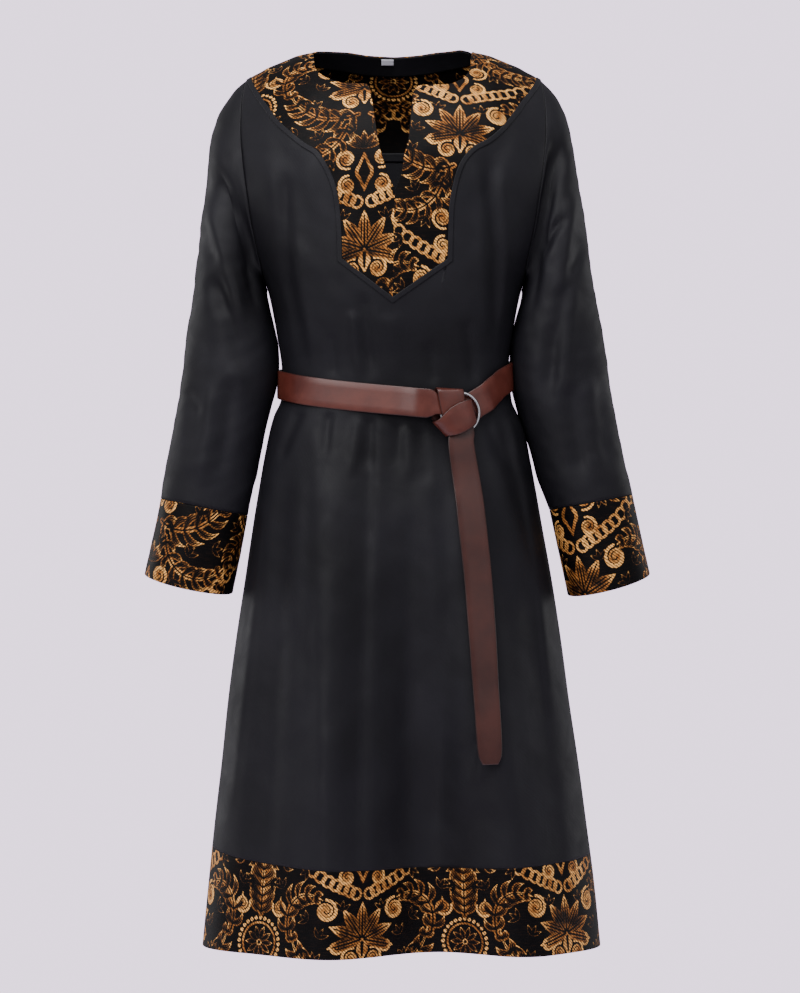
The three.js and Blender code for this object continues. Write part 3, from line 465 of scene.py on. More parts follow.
relief = add(t, "ShaderNodeBump", {"Height": crumple.outputs["Fac"], "Strength": 0.16,
                                   "Distance": 0.004})
relief = add(t, "ShaderNodeBump", {"Height": floats.outputs["Fac"], "Strength": 0.06,
                                   "Distance": 0.0004, "Normal": relief.outputs["Normal"]})
skin = add(t, "ShaderNodeBsdfPrincipled", {
    "Base Color": shade.outputs["Color"], "Roughness": gloss.outputs["Result"],
    "Specular IOR Level": 0.17, "Sheen Weight": 0.0,
    "Normal": relief.outputs["Normal"]})
add(t, "ShaderNodeOutputMaterial", {"Surface": skin.outputs["BSDF"]})

for name, side, columns, low_rows, fan_rows, area in (
        ("front_cloth", -1, 117, 150, 72, 0.455), ("back_cloth", 1, 97, 110, 50, 0.46)):
    points = on_body(panel_grid(side, columns, low_rows, fan_rows), side)
    piece = cloth(name, points, laid_flat(points), satin, 1.2)
    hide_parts("front_panel" if side < 0 else "back_panel")

# ---------------------------------------------------------------------------------------------
# Hem bands, front and back: brocade woven with a gold figure of leaves, scrolls and chains on a
# black ground, sewn to the panels' lower edge with the seam turned down.
# ---------------------------------------------------------------------------------------------
HALF_REPEAT, REPEAT_UP = 150.0, 230.0     # the figure mirrors sideways and repeats upwards
figure, veins = [], []                    # tapered strokes: x0, y0, x1, y1, r0, r1, tone0, tone1


def stroke(points, r, tone, into=None):
    """Tapered strokes through points; r and tone run evenly through their given values."""
    points = np.array(points, float)
    at = np.linspace(0, 1, len(points))
    radius, light = (np.interp(at, np.linspace(0, 1, len(v)), v) for v in (r, tone))
    (figure if into is None else into).extend(np.column_stack(
        [points[:-1], points[1:], radius[:-1], radius[1:], light[:-1], light[1:]]).tolist())


def curve(a, b, c, d, n=14):
    """Cubic curve from a to d that leaves towards b and arrives from c."""
    t = np.linspace(0, 1, n)[:, None]
    return ((1 - t)**3 * np.array(a) + 3 * (1 - t)**2 * t * np.array(b)
            + 3 * (1 - t) * t**2 * np.array(c) + t**3 * np.array(d))


def lobe(root, out, tip, girth, tone):
    """One bent, pointed lobe from its root towards `out`, then on to its tip, with its veins."""
    root, out, tip = (np.array(p, float) for p in (root, out, tip))
    line = curve(root, mix(root, out, 0.7), out, tip, 8)
    stroke(line, (girth * 0.5, girth * 0.95, girth, girth * 0.62, 0.5), (tone[0], tone[0], tone[1]))
    stroke(line[:-1], (0.95, 0.75, 0.4), (0, 0), veins)
    way = tip - root
    side = np.array([-way[1], way[0]]) / max(1.0, np.hypot(*way)) * girth * 0.46
    for hand in (1, -1):
        stroke(line[1:6] + side * hand, (0.3, 0.6, 0.3), (0, 0), veins)


def acanthus(spine, pairs, reach, girth, tone=(0.3, 1.0), sides=(1, -1)):
    """Leaf on a curved spine: broad lobes on both sides that lean towards its tip, longest a
    third of the way up, with a vein down each lobe and down the spine."""
    spine = np.array(spine)
    stroke(spine, (girth * 0.75, girth * 0.7, 0.8), tone)
    stroke(spine[:-1], (0.9, 0.4), (0, 0), veins)
    n = len(spine) - 1
    for k in range(pairs):
        s = (k + 0.35) / pairs
        i = min(int(s * n), n - 1)
        at = mix(spine[i], spine[i + 1], s * n - i)
        way = spine[i + 1] - spine[i]
        way = way / np.hypot(*way)
        long = reach * (np.sin(np.pi * min(1, s * 0.8 + 0.22)) * 0.8 + 0.25)
        for hand in sides:
            normal = np.array([-way[1], way[0]]) * hand
            out = at + (way * 0.42 + normal * 0.88) * long * 0.72
            lobe(at, out, out + (way * 0.98 - normal * 0.06) * long * 0.62, girth, tone)


def scroll(x, y, r, turns, start, hand=1, wide=(1.6, 4.2), tone=(1.0, 0.45), n=26):
    """Volute: a spiral whose radius closes evenly to a round eye."""
    a = np.radians(start) + hand * np.linspace(0, 2 * np.pi * turns, n)
    radius = np.linspace(r, r * 0.12, n)
    line = np.column_stack([x + radius * np.cos(a), y + radius * np.sin(a)])
    stroke(line, wide, tone)
    stroke(line[n // 2:], (0.3, 0.7), (0, 0), veins)


def petals(x, y, r0, r1, count, girth, start=0, span=360, tone=(0.25, 1.0)):
    """Pointed petals round a centre, each with its veins."""
    middle = np.array([x, y], float)
    for a in np.radians(start + span * np.arange(count) / max(1, count)):
        d = np.array([np.cos(a), np.sin(a)])
        lobe(middle + d * r0, middle + d * mix(r0, r1, 0.66), middle + d * r1, girth, tone)


# on the left mirror line: a palmette on two volutes, and a lozenge in a frame of scrolls
petals(0, 60, 3, 49, 7, 8.6, start=-14, span=242)
stroke([(0, 34), (0, 46), (0, 58)], (2.5, 8.5, 5.0), (0.9, 0.4))
stroke([(0, 38), (0, 55)], (1.2, 2.2), (0, 0), veins)
scroll(17, 36, 13, 1.5, 110, -1)
scroll(36, 50, 9, 1.4, 200, 1, wide=(1.4, 3.4))
stroke([(0, 134), (0, 158), (0, 184)], (1.0, 12.5, 1.0), (0.35, 0.55, 0.35))
stroke([(0, 142), (0, 158), (0, 176)], (0.3, 7.4, 0.3), (0, 0), veins)
stroke([(0, 148), (0, 158), (0, 170)], (0.6, 4.2, 0.6), (0.9, 1.0, 0.9))
scroll(24, 176, 14, 1.6, 250, 1)
scroll(23, 142, 12, 1.5, 100, -1)
petals(0, 190, 2, 27, 5, 5.0, start=24, span=165)
# great branches that cross the half repeat
acanthus(curve((8, 14), (46, -6), (92, 18), (100, 72)), 7, 28, 5.3)
acanthus(curve((104, 62), (116, 104), (86, 130), (54, 112)), 6, 24, 4.9)
scroll(50, 98, 15, 1.7, 90, 1, wide=(2.0, 4.6))
acanthus(curve((22, 226), (34, 182), (78, 166), (110, 202)), 7, 23, 4.8)
acanthus(curve((146, 10), (122, 6), (110, -14), (124, -38)), 6, 19, 4.3)
acanthus(curve((142, 160), (112, 144), (98, 162), (116, 184)), 4, 16, 4.0)
# on the right mirror line: a rosette in a ring of pearls, with a tall plume above
petals(150, 50, 5, 21, 10, 3.9, start=0, span=360)
stroke([(150, 50), (150.1, 50)], (5.0, 5.0), (0.9, 0.9))
stroke([(150, 50), (150.1, 50)], (2.0, 2.0), (0.0, 0.0), veins)
turn = np.radians(np.arange(0, 361, 10))
stroke(np.column_stack([150 + 25 * np.cos(turn), 50 + 25 * np.sin(turn)]), (1.5, 1.5), (0.5, 0.5))
for a in np.radians(np.arange(90, 271, 12.86)):
    pearl = np.array([150 + 31 * np.cos(a), 50 + 31 * np.sin(a)])
    stroke([pearl, pearl + 0.01], (2.7, 2.7), (1.0, 1.0))
acanthus(curve((150, 86), (150, 106), (150, 134), (150, 162)), 7, 30, 5.6, sides=(1,))
scroll(120, 96, 12, 1.6, 20, -1)
# a chain of links that swings from one mirror line to the other
for cx, cy in curve((10, 120), (46, 136), (88, 146), (144, 226), 13):
    stroke(np.column_stack([cx + 7.2 * np.cos(turn), cy + 7.2 * np.sin(turn)]), (1.9, 1.9), (0.7, 0.7))
# sprigs that fill the ground: a fan of three small lobes on a bead
for sx, sy, way in ((64, 30, 80), (124, 22, 150), (30, 98, 100), (74, 84, 30), (76, 150, -30),
                    (58, 208, 60), (134, 204, 110), (30, 14, 220), (88, 222, 10), (116, 122, 60),
                    (12, 216, 40), (138, 128, 200), (60, 62, 120), (84, 48, 250), (44, 176, -60)):
    for bend in (-44, 0, 44):
        a = np.radians(way + bend)
        at, d = np.array([sx, sy]), np.array([np.cos(a), np.sin(a)])
        lobe(at + d * 2, at + d * 9.5, at + d * 15, 3.0, (0.3, 0.9))


def drawn(strokes, u, v):
    """Depth inside the nearest stroke (negative outside) and its tone, with the strokes
    mirrored at both mirror lines and repeated above and below."""
    s = np.array(strokes)
    flips = [s]
    for axis in (0.0, HALF_REPEAT):
        m = s.copy()
        m[:, [0, 2]] = 2 * axis - m[:, [0, 2]]
        flips.append(m)
    s = np.concatenate(flips)
    s = np.concatenate([s + np.array([0, dy, 0, dy, 0, 0, 0, 0]) for dy in (0, REPEAT_UP, -REPEAT_UP)])
    low_x, high_x = s[:, [0, 2]].min(1), s[:, [0, 2]].max(1)
    low_y, high_y = s[:, [1, 3]].min(1), s[:, [1, 3]].max(1)
    s = s[(low_x < HALF_REPEAT + 8) & (high_x > -8) & (low_y < REPEAT_UP + 8) & (high_y > -8)]
    depth, tone = np.full(u.shape, -30.0), np.zeros(u.shape)
    for x0, y0, x1, y1, r0, r1, t0, t1 in s:
        near = ((u > min(x0, x1) - 16) & (u < max(x0, x1) + 16)
                & (v > min(y0, y1) - 16) & (v < max(y0, y1) + 16))
        uu, vv = u[near], v[near]
        dx, dy = x1 - x0, y1 - y0
        k = np.clip(((uu - x0) * dx + (vv - y0) * dy) / (dx * dx + dy * dy + 1e-9), 0, 1)
        inside = mix(r0, r1, k) - np.hypot(uu - x0 - k * dx, vv - y0 - k * dy)
        better = inside > depth[near]
        depth[near] = np.where(better, inside, depth[near])
        tone[near] = np.where(better, mix(t0, t1, k), tone[near])
    return depth, tone


FINE = 0.5     # spacing of the points at which the repeat is worked out
repeat_v, repeat_u = np.meshgrid(np.arange(0, REPEAT_UP + 0.1, FINE),
                                 np.arange(0, HALF_REPEAT + 0.1, FINE), indexing="ij")
repeat_depth, repeat_tone = drawn(figure, repeat_u, repeat_v)
repeat_vein, _ = drawn(veins, repeat_u, repeat_v)


def woven(flat, shift_u=0.0, shift_v=0.0):
    """Reads the repeat at cut-out coordinates (metres), blended between its four nearest points."""
    u = (flat[..., 0] * 1000 + shift_u) % (2 * HALF_REPEAT)
    u = np.where(u > HALF_REPEAT, 2 * HALF_REPEAT - u, u) / FINE
    v = ((flat[..., 1] * 1000 + shift_v) % REPEAT_UP) / FINE
    rows, cols = repeat_u.shape
    i, j = np.clip(u.astype(int), 0, cols - 2), np.clip(v.astype(int), 0, rows - 2)
    a, b = np.clip(u - i, 0, 1), np.clip(v - j, 0, 1)
    read = [g[j, i] * (1 - a) * (1 - b) + g[j, i + 1] * a * (1 - b) + g[j + 1, i] * (1 - a) * b
            + g[j + 1, i + 1] * a * b for g in (repeat_depth, repeat_vein, repeat_tone)]
    return {"figure": read[0], "vein": read[1], "tone": read[2]}


# Brocade: flat gold-coloured floats on a black satin ground.  The gold yarn is a viscose and
# metal thread, so it is half glossy and only partly metallic.  Its wefts are drawn as streaks 1.8 mm
# apart, crossed by a twill line every 3 mm.
brocade, t = new_material("gold and black brocade")
cut = add(t, "ShaderNodeUVMap", uv_map="cut").outputs["UV"]
depth = add(t, "ShaderNodeAttribute", attribute_name="figure").outputs["Fac"]
vein = add(t, "ShaderNodeAttribute", attribute_name="vein").outputs["Fac"]
tone = add(t, "ShaderNodeAttribute", attribute_name="tone").outputs["Fac"]
streak_at = add(t, "ShaderNodeMapping", {"Vector": cut, "Scale": (60.0, 560.0, 1.0)})
streaks = add(t, "ShaderNodeTexNoise", {"Vector": streak_at.outputs["Vector"], "Scale": 1.0,
                                        "Detail": 3.0, "Roughness": 0.7})
speck = add(t, "ShaderNodeTexNoise", {"Vector": cut, "Scale": 620.0, "Detail": 2.0})
ragged = add(t, "ShaderNodeMath", {0: speck.outputs["Fac"], 1: 0.5}, operation="SUBTRACT")
ragged = add(t, "ShaderNodeMath", {0: ragged.outputs[0], 1: 1.5, 2: depth}, operation="MULTIPLY_ADD")
gold_here = add(t, "ShaderNodeMapRange", {"Value": ragged.outputs[0], "From Min": 0.0, "From Max": 0.55})
vein_here = add(t, "ShaderNodeMapRange", {"Value": vein, "From Min": -0.7, "From Max": 0.0})
patchy = add(t, "ShaderNodeTexNoise", {"Vector": cut, "Scale": 42.0, "Detail": 3.0, "Roughness": 0.6})
patches = add(t, "ShaderNodeMath", {0: patchy.outputs["Fac"], 1: 0.5}, operation="SUBTRACT")
patches = add(t, "ShaderNodeMath", {0: patches.outputs[0], 1: 1.7, 2: tone}, operation="MULTIPLY_ADD")
shades = add(t, "ShaderNodeValToRGB", {"Fac": patches.outputs[0]})
shades.color_ramp.elements[0].color = hex_linear("#2a170b")
shades.color_ramp.elements[0].position = 0.05
shades.color_ramp.elements[1].color = hex_linear("#e3a75e")
shades.color_ramp.elements[1].position = 0.92
middle = shades.color_ramp.elements.new(0.46)
middle.color = hex_linear("#935c2b")
twill = add(t, "ShaderNodeTexWave", {"Vector": cut, "Scale": 140.0, "Distortion": 2.5,
                                     "Detail": 1.0, "Detail Scale": 3.0},
            wave_type="BANDS", bands_direction="DIAGONAL")
mottle = add(t, "ShaderNodeMath", {0: streaks.outputs["Fac"], 1: twill.outputs["Fac"]}, operation="MULTIPLY")
yarn = add(t, "ShaderNodeMapRange", {"Value": mottle.outputs[0], "From Min": 0.05,
                                     "From Max": 0.42, "To Min": 0.3, "To Max": 1.4})
lit = add(t, "ShaderNodeVectorMath", {0: shades.outputs["Color"]}, operation="SCALE")
t.links.new(yarn.outputs["Result"], lit.inputs["Scale"])
cut_gold = add(t, "ShaderNodeMath", {0: 1.0, 1: vein_here.outputs["Result"]}, operation="SUBTRACT")
cut_gold = add(t, "ShaderNodeMath", {0: gold_here.outputs["Result"], 1: cut_gold.outputs[0]},
               operation="MULTIPLY")
ground = add(t, "ShaderNodeMapRange", {"Value": streaks.outputs["Fac"], "From Min": 0.52,
                                       "From Max": 0.78, "To Min": 0.0, "To Max": 0.16})
ground_mix = add(t, "ShaderNodeMix", {"Factor": ground.outputs["Result"]}, data_type="RGBA")
ground_mix.inputs["A"].default_value = hex_linear("#050405")
ground_mix.inputs["B"].default_value = hex_linear("#4a2f1c")
colour = add(t, "ShaderNodeMix", {"Factor": cut_gold.outputs[0]}, data_type="RGBA")
t.links.new(ground_mix.outputs["Result"], colour.inputs["A"])
t.links.new(lit.outputs["Vector"], colour.inputs["B"])
metal = add(t, "ShaderNodeMath", {0: cut_gold.outputs[0], 1: 0.25}, operation="MULTIPLY")
raised = add(t, "ShaderNodeMath", {0: streaks.outputs["Fac"], 1: 0.35, 2: cut_gold.outputs[0]},
             operation="MULTIPLY_ADD")
relief = add(t, "ShaderNodeBump", {"Height": raised.outputs[0], "Strength": 0.45, "Distance": 0.0006})
skin = add(t, "ShaderNodeBsdfPrincipled", {
    "Base Color": colour.outputs["Result"], "Metallic": metal.outputs[0], "Roughness": 0.5,
    "Specular IOR Level": 0.08, "Normal": relief.outputs["Normal"]})
add(t, "ShaderNodeOutputMaterial", {"Surface": skin.outputs["BSDF"]})


def outward(points, side):
    """Unit normals that look out of the body (side -1 or 1) or out of a tube of rings (side 0)."""
    du = np.gradient(points, axis=1) if side else np.roll(points, -1, 1) - np.roll(points, 1, 1)
    n = np.cross(du, np.gradient(points, axis=0))
    n /= np.linalg.norm(n, axis=-1, keepdims=True)
    facing = (n[..., 1] * side).sum() if side else (n * (points - points.mean(1, keepdims=True))).sum()
    return n * np.sign(facing)


def rolled(points, side, high=1.3):
    """Adds a turned hem: past row 0 the cloth rolls inwards on half of `high` and runs back up
    inside for fifteen rows."""
    n, away = outward(points, side), points[0] - points[1]
    away /= np.linalg.norm(away, axis=-1, keepdims=True)
    turn = np.linspace(0, np.pi, 6)[1:, None, None]
    roll = points[0] + high / 2 * (away * np.sin(turn) - n[0] * (1 - np.cos(turn)))
    inner = points[5:16:5] - n[5:16:5] * high
    return np.concatenate([inner[::-1], roll[::-1], points])


def with_allowance(points, side, long=4.0, under=1.7):
    """Past the seam the last row runs on behind the black cloth as the seam allowance."""
    up = points[-1] - points[-2]
    up /= np.linalg.norm(up, axis=-1, keepdims=True)
    inside = outward(points, side)[-1] * under
    return np.concatenate([points, [points[-1] - inside * 0.6 + up * 0.2, points[-1] - inside + up * 0.9,
                                    points[-1] - inside + up * long]])


def brocade_piece(name, points, side, shift):
    """Brocade sheet from its points, with row 0 hemmed and the repeat laid where it is cut."""
    points = rolled(with_allowance(points, side), side)
    flat = laid_flat(points)
    return cloth(name, points, flat, brocade, 0, wrap=side == 0, facts=woven(flat, *shift))


for name, side, node, shift in (("hem_brocade_front", -1, "hem_band_front", (62.0, 18.0)),
                                ("hem_brocade_back", 1, "hem_band_back", (10.0, 120.0))):
    columns, rows = (757, 119) if side < 0 else (521, 86)
    s = np.linspace(0, 1, columns)[None, :]
    u = across(s, np.array([[-1050.0]]), side)
    z = mix(HEM_Z, band_top(u, side), np.linspace(0, 1, rows)[:, None])
    piece = brocade_piece(name, on_body(np.stack([level(u, z), z], -1), side), side, shift)
    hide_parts(node)

# ---------------------------------------------------------------------------------------------
# Yoke: two front halves that meet in a seam down the placket, open above it as a neck slit, and
# a back yoke.  Brocade, set into the black panels, its neck edge turned in.
# ---------------------------------------------------------------------------------------------
for name, rows, node, shift in (("yoke_brocade_left", YOKE_LEFT, "yoke_front_left", (38.0, 96.0)),
                                ("yoke_brocade_right", YOKE_RIGHT, "yoke_front_right", (212.0, 171.0))):
    fine = np.linspace(0, 14, 600)
    stride = sum(np.abs(np.diff(yoke_outline(rows, fine, edge), axis=0)).sum(1) for edge in (1, 3))
    way = np.concatenate([[0], np.cumsum(stride)])
    r = np.interp(np.linspace(0, way[-1], 300), way, fine)
    outer, inner = yoke_outline(rows, r, 1), yoke_outline(rows, r, 3)
    xz = mix(inner[None, :, :], outer[None, :, :], np.linspace(0, 1, 98)[:, None, None])
    xz = mix(xz, ridge_point(xz[..., 0]), smooth(r - 13)[None, :, None])
    points = rolled(on_body(xz, -1), -1)
    flat = np.stack([points[..., 0] * 1.04, points[..., 2] + 0.6 * (points[..., 1] + 125)], -1) / 1000
    piece = cloth(name, points, flat, brocade, 0, facts=woven(flat, *shift))
    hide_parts(node)

# the panel's edge round the yoke is turned under 6.5 mm wide and topstitched, so it stands up
BORDER, BORDER_HIGH = 6.5, 1.1


def lined(points, side, inward):
    """Points moved to the inside of the cloth."""
    return points - outward(points, side) * inward


left, right = (yoke_outline(rows, np.linspace(0, 13.7, 220), 1) for rows in (YOKE_LEFT, YOKE_RIGHT))
point, t = np.array([[-0.6, -326.5]]), np.linspace(0, 1, 40)[1:-1, None]
seam = np.concatenate([left[::-1], mix(left[:1], point, t), point, mix(point, right[:1], t), right])
way = np.diff(seam, axis=0)
way = np.stack([way[:, 1], -way[:, 0]], -1) / np.linalg.norm(way, axis=1, keepdims=True)
before, after = np.concatenate([way[:1], way]), np.concatenate([way, way[-1:]])
out = (before + after) / (1 + (before * after).sum(1, keepdims=True))
xz = seam[None, :, :] + out[None, :, :] * BORDER * np.linspace(0.03, 1, 7)[:, None, None]
points = lined(on_body(xz, -1), -1, -BORDER_HIGH)
piece = cloth("yoke_border", points, laid_flat(points), satin, 1.0)

NECK_BACK = [(-107, -2.6), (-98, 0.5), (-85, 2.2), (-63, 3.2), (-30, 0.6), (0, -0.2), (30, 0.8),
             (60, 3.4), (85, 3.6), (96, 1), (103.4, -2.6)]


def back_yoke_grid(t, share):
    """x, z of the back yoke: straight from the neck edge (share 0) to its lower edge (1)."""
    nx = mix(-107, 103.4, (1 - np.cos(np.pi * t)) / 2)
    neck = np.stack([nx, look(NECK_BACK, nx)], -1)
    xz = mix(neck, back_yoke_edge(t), share)
    ends = (t < 1e-6) | (t > 1 - 1e-6)
    return np.where(ends[..., None], np.stack([xz[..., 0], look(RIDGE, np.abs(xz[..., 0]), 2)], -1), xz)


xz = back_yoke_grid(np.linspace(0, 1, 301)[None, :], np.linspace(0, 1, 96)[:, None, None])
points = rolled(with_allowance(on_body(xz, 1), 1), 1)
flat = np.stack([points[..., 0] * 1.04, points[..., 2] - 0.6 * (points[..., 1] - 118)], -1) / 1000
piece = cloth("yoke_brocade_back", points, flat, brocade, 0, facts=woven(flat, 150.0, 60.0))
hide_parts("yoke_back")

# the seam's allowance, pressed over the join on the inside
xz = back_yoke_grid(np.linspace(0.03, 0.97, 141)[None, :], np.linspace(0.955, 1.05, 7)[:, None, None])
points = lined(on_body(xz, 1), 1, 1.9)
piece = cloth("yoke_seam_allowance", points, laid_flat(points), satin, 0.5)

# ---------------------------------------------------------------------------------------------
# Neck facing and size label: a narrow strip of the black satin is turned to the inside of the
# back neck, and a bare tape label is stitched on it.
# ---------------------------------------------------------------------------------------------
s = np.linspace(2 / 22, 20 / 22, 121)[None, :]
points = lined(on_body(back_yoke_grid(s, np.linspace(0.0, 0.18, 14)[:, None, None]), 1), 1, 1.9)
piece = cloth("facing_cloth", points, laid_flat(points), satin, 0.7)
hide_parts("neck_facing")

# woven tape: white polyester, plain, with a faint rib across
tape, t = new_material("white woven label tape")
place = add(t, "ShaderNodeTexCoord").outputs["Object"]
rib = add(t, "ShaderNodeTexWave", {"Vector": place, "Scale": 380.0}, bands_direction="Z")
tint = add(t, "ShaderNodeValToRGB", {"Fac": rib.outputs["Fac"]})
tint.color_ramp.elements[0].color = hex_linear("#cfccda")
tint.color_ramp.elements[1].color = hex_linear("#e9e6f2")
relief = add(t, "ShaderNodeBump", {"Height": rib.outputs["Fac"], "Strength": 0.2, "Distance": 0.0002})
skin = add(t, "ShaderNodeBsdfPrincipled", {"Base Color": tint.outputs["Color"], "Roughness": 0.75,
                                           "Normal": relief.outputs["Normal"]})
add(t, "ShaderNodeOutputMaterial", {"Surface": skin.outputs["BSDF"]})
x, z = np.meshgrid(np.linspace(-16.4, -0.6, 13), np.linspace(-8.6, -1.4, 8))
points = lined(np.stack([x, body_y(x, z, 1), z], -1), 1, 3.2)
piece = cloth("label_tape", points, laid_flat(points), tape, 0.5)
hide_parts("label")

# ---------------------------------------------------------------------------------------------
# Sleeves and cuffs: straight sleeves of the black satin, each sewn in one seam under the arm and
# set in a deep armhole, so the cloth folds in front of the armpit.  Wide brocade cuffs.
# ---------------------------------------------------------------------------------------------
# ring, outer x, outer z, inner x, inner z, half depth
SLEEVE_LEFT = [
    (0, -193, -40, -163.6, -311, 60), (1, -208.7, -53, -163.8, -314, 52),
    (2, -223, -74, -163.4, -318.5, 55), (3, -232.7, -98.8, -162.5, -323.5, 58),
    (4, -238.6, -126, -161.2, -330, 60), (5, -242.5, -165, -159.4, -339, 61),
    (6, -247, -210.6, -156.4, -351, 62), (7, -252.9, -258.7, -152.9, -366, 62),
    (8, -258.7, -304.2, -149.2, -385, 61), (9, -265.2, -349.7, -148, -408, 59),
    (10, -271.7, -397.8, -151.2, -436, 57), (11, -279.5, -444.6, -159, -466, 55),
    (12, -287.3, -492.7, -171.2, -515, 53), (13, -294.5, -538.2, -180.7, -560, 51),
    (14, -301.6, -582.4, -188.5, -604.5, 50)]
SLEEVE_RIGHT = [
    (0, 193, -40, 166.4, -311, 60), (1, 204.8, -53, 166.6, -314, 52),
    (2, 217.8, -74, 166.3, -318.5, 55), (3, 226.9, -98.8, 165.4, -323.5, 58),
    (4, 232.7, -126, 164.2, -330, 60), (5, 239.2, -165, 161.4, -339, 61),
    (6, 246.4, -210.6, 158.1, -351, 62), (7, 254.2, -258.7, 154.7, -366, 62),
    (8, 260.7, -304.2, 150.7, -385, 61), (9, 267.5, -349.7, 150.9, -408, 59),
    (10, 276.3, -397.8, 152.2, -434, 57), (11, 284.7, -444.6, 158.6, -463, 55),
    (12, 293.2, -492.7, 174, -511, 53), (13, 302.3, -538.2, 186.2, -556, 51),
    (14, 310.7, -577.2, 202.8, -597, 50)]
CUFF_LEFT, CUFF_RIGHT = (-323, -678.6, -208.7, -703.3, 50), (332.2, -678.6, 225.6, -705.9, 50)
CUFF_DIP, ARM_FORWARD = 7.0, -8.0
# folds seen from the front: push, half widths, line in x, z; those of the back mirror them loosely
FOLDS_SLEEVE = {
    -1: [(-11, 9, 17, (-232, -150), (-212, -198), (-188, -246), (-174, -305), (-168, -372)),
         (6, 9, 12, (-241, -190), (-222, -250), (-203, -318), (-192, -385)),
         (-7, 9, 13, (-232, -290), (-211, -350), (-192, -430)),
         (4, 10, 12, (-222, -330), (-204, -400), (-196, -470)),
         (-4, 18, 20, (-252, -360), (-256, -450), (-262, -545)),
         (-5, 8, 12, (-206, -420), (-212, -490), (-222, -560)),
         (3.5, 10, 14, (-236, -430), (-240, -500), (-248, -575)),
         (-4, 7, 10, (-247, -230), (-236, -262), (-222, -285)),
         (-3, 8, 10, (-270, -440), (-262, -462), (-246, -476))],
    1: [(-11, 10, 16, (221, -110), (208, -160), (194, -215), (180, -276), (172, -360)),
        (-8, 5, 9, (218, -222), (203, -244), (190, -272)),
        (6, 9, 12, (233, -178), (222, -246), (210, -322), (200, -400)),
        (-6.5, 9, 12, (218, -300), (206, -380), (198, -470)),
        (4, 10, 12, (228, -300), (222, -390), (216, -480)),
        (-4, 18, 18, (264, -400), (270, -480), (280, -560)),
        (-5, 8, 12, (226, -430), (234, -500), (246, -570)),
        (3.5, 12, 12, (252, -420), (258, -500), (266, -570)),
        (-4, 7, 9, (246, -250), (236, -280), (224, -300))],
}


def sleeve_grid(rows, cuff, hand, rings, around):
    """Rings from the armhole to the cuff's edge (ring 16).  A ring runs on the ellipse between
    its inner and outer points; the first rings take the armhole's own outline and ease out of it."""
    psi = np.linspace(0, 2 * np.pi, around, endpoint=False)[None, :]
    r = rings[:, None]
    top = np.minimum(r, 14)
    past = np.clip((r - 14) / 2, 0, 1)
    ox, oz, ix, iz, deep = (mix(look(rows, top, c + 1), cuff[c], past) for c in range(5))
    c, front = np.cos(psi), np.sin(psi)
    ease = smooth(top / 4.5)
    z0 = (UNDERARM_Z + TIP_Z) / 2 - (TIP_Z - UNDERARM_Z) / 2 * c
    x0 = arm_x(z0, hand)
    chord = mix(arm_x(np.array(UNDERARM_Z), hand), arm_x(np.array(TIP_Z), hand), (1 - c) / 2)
    arm_y = np.where(front >= 0, body_y(x0, z0, -1, False), body_y(x0, z0, 1, False))
    arm_y = np.where(np.abs(front) < 1e-6, 0, arm_y)
    cx, cz = (ox + ix) / 2, (oz + iz) / 2
    x = cx + (ix - cx) * c + (x0 - chord) * (1 - ease)
    y = mix(arm_y, -deep * front, ease) + ARM_FORWARD * smooth(top / 14)
    z = cz + (iz - cz) * c - CUFF_DIP * past * np.maximum(0, front)
    return np.stack([x, y, z], -1), psi


def ruffled(points, psi, rings, hand):
    """Moves the rings' points along the level normal by the sleeve's folds and unevenness."""
    n = outward(points, 0)
    x, z = points[..., 0], points[..., 2]
    front = smooth(0.5 + 0.9 * np.sin(psi))
    push = fold_push(FOLDS_SLEEVE[hand], x, z) * front
    push += fold_push([(a * 0.8, b, c, *[(px + 6 * hand, pz - 22) for px, pz in line])
                       for a, b, c, *line in FOLDS_SLEEVE[hand]], x, z) * (1 - front)
    turn = 55 * np.cos(psi)
    push += 1.5 * unevenness(turn, z * 0.7 + 40 * np.sin(psi), 70, 11 + hand)
    push += 0.5 * unevenness(turn, z + 30 * np.sin(psi), 30, 15 + hand)
    r = rings[:, None]
    # still where it meets the armhole and where it lies against the body, steadier at the cuff
    beside_body = smooth((np.cos(psi) - 0.55) / 0.35) * smooth((12.5 - r) / 1.5)
    hold = smooth(r / 1.6) * (1 - 0.92 * beside_body) * mix(1.0, 0.35, smooth((r - 12.6) / 2.2))
    return points + n * (push * hold)[..., None]


for side, rows, cuff, hand, shift in (("left", SLEEVE_LEFT, CUFF_LEFT, -1, (20.0, 150.0)),
                                      ("right", SLEEVE_RIGHT, CUFF_RIGHT, 1, (118.0, 40.0))):
    rings = np.concatenate([np.linspace(0.03, 4, 40)[:-1], np.linspace(4, 13.985, 96)])
    points, psi = sleeve_grid(rows, cuff, hand, rings, 84)
    points = ruffled(points, psi, rings, hand)
    piece = cloth("sleeve_cloth_" + side, points, laid_flat(points), satin, 1.2, wrap=True)
    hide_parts("sleeve_" + side)

    rings = np.linspace(14.0, 16, 94)
    points, psi = sleeve_grid(rows, cuff, hand, rings, 340)
    points = ruffled(points, psi, rings, hand)
    piece = brocade_piece("cuff_brocade_" + side, points[::-1], 0, shift)
    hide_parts("cuff_" + side)

# ---------------------------------------------------------------------------------------------
# Belt: one brown leather strap, 37 mm wide.  Its end is folded round the steel ring; the free
# end goes up through the ring, across it, behind the belt, and hangs down under the loop.
# ---------------------------------------------------------------------------------------------
STRAP_THICK = 2.5
RING_MAJOR, RING_WIRE, RING_L, RING_H, RING_LIFT = 25.4, 2.0, 1.0, -2.2, 9.7
LEAN_MOST, LEAN_FROM, LEAN_OVER = -0.42, -262, 46
WAIST_X, WAIST_HALF, WAIST_FRONT, WAIST_BACK = 3.0, 150.0, 103.5, 97.0


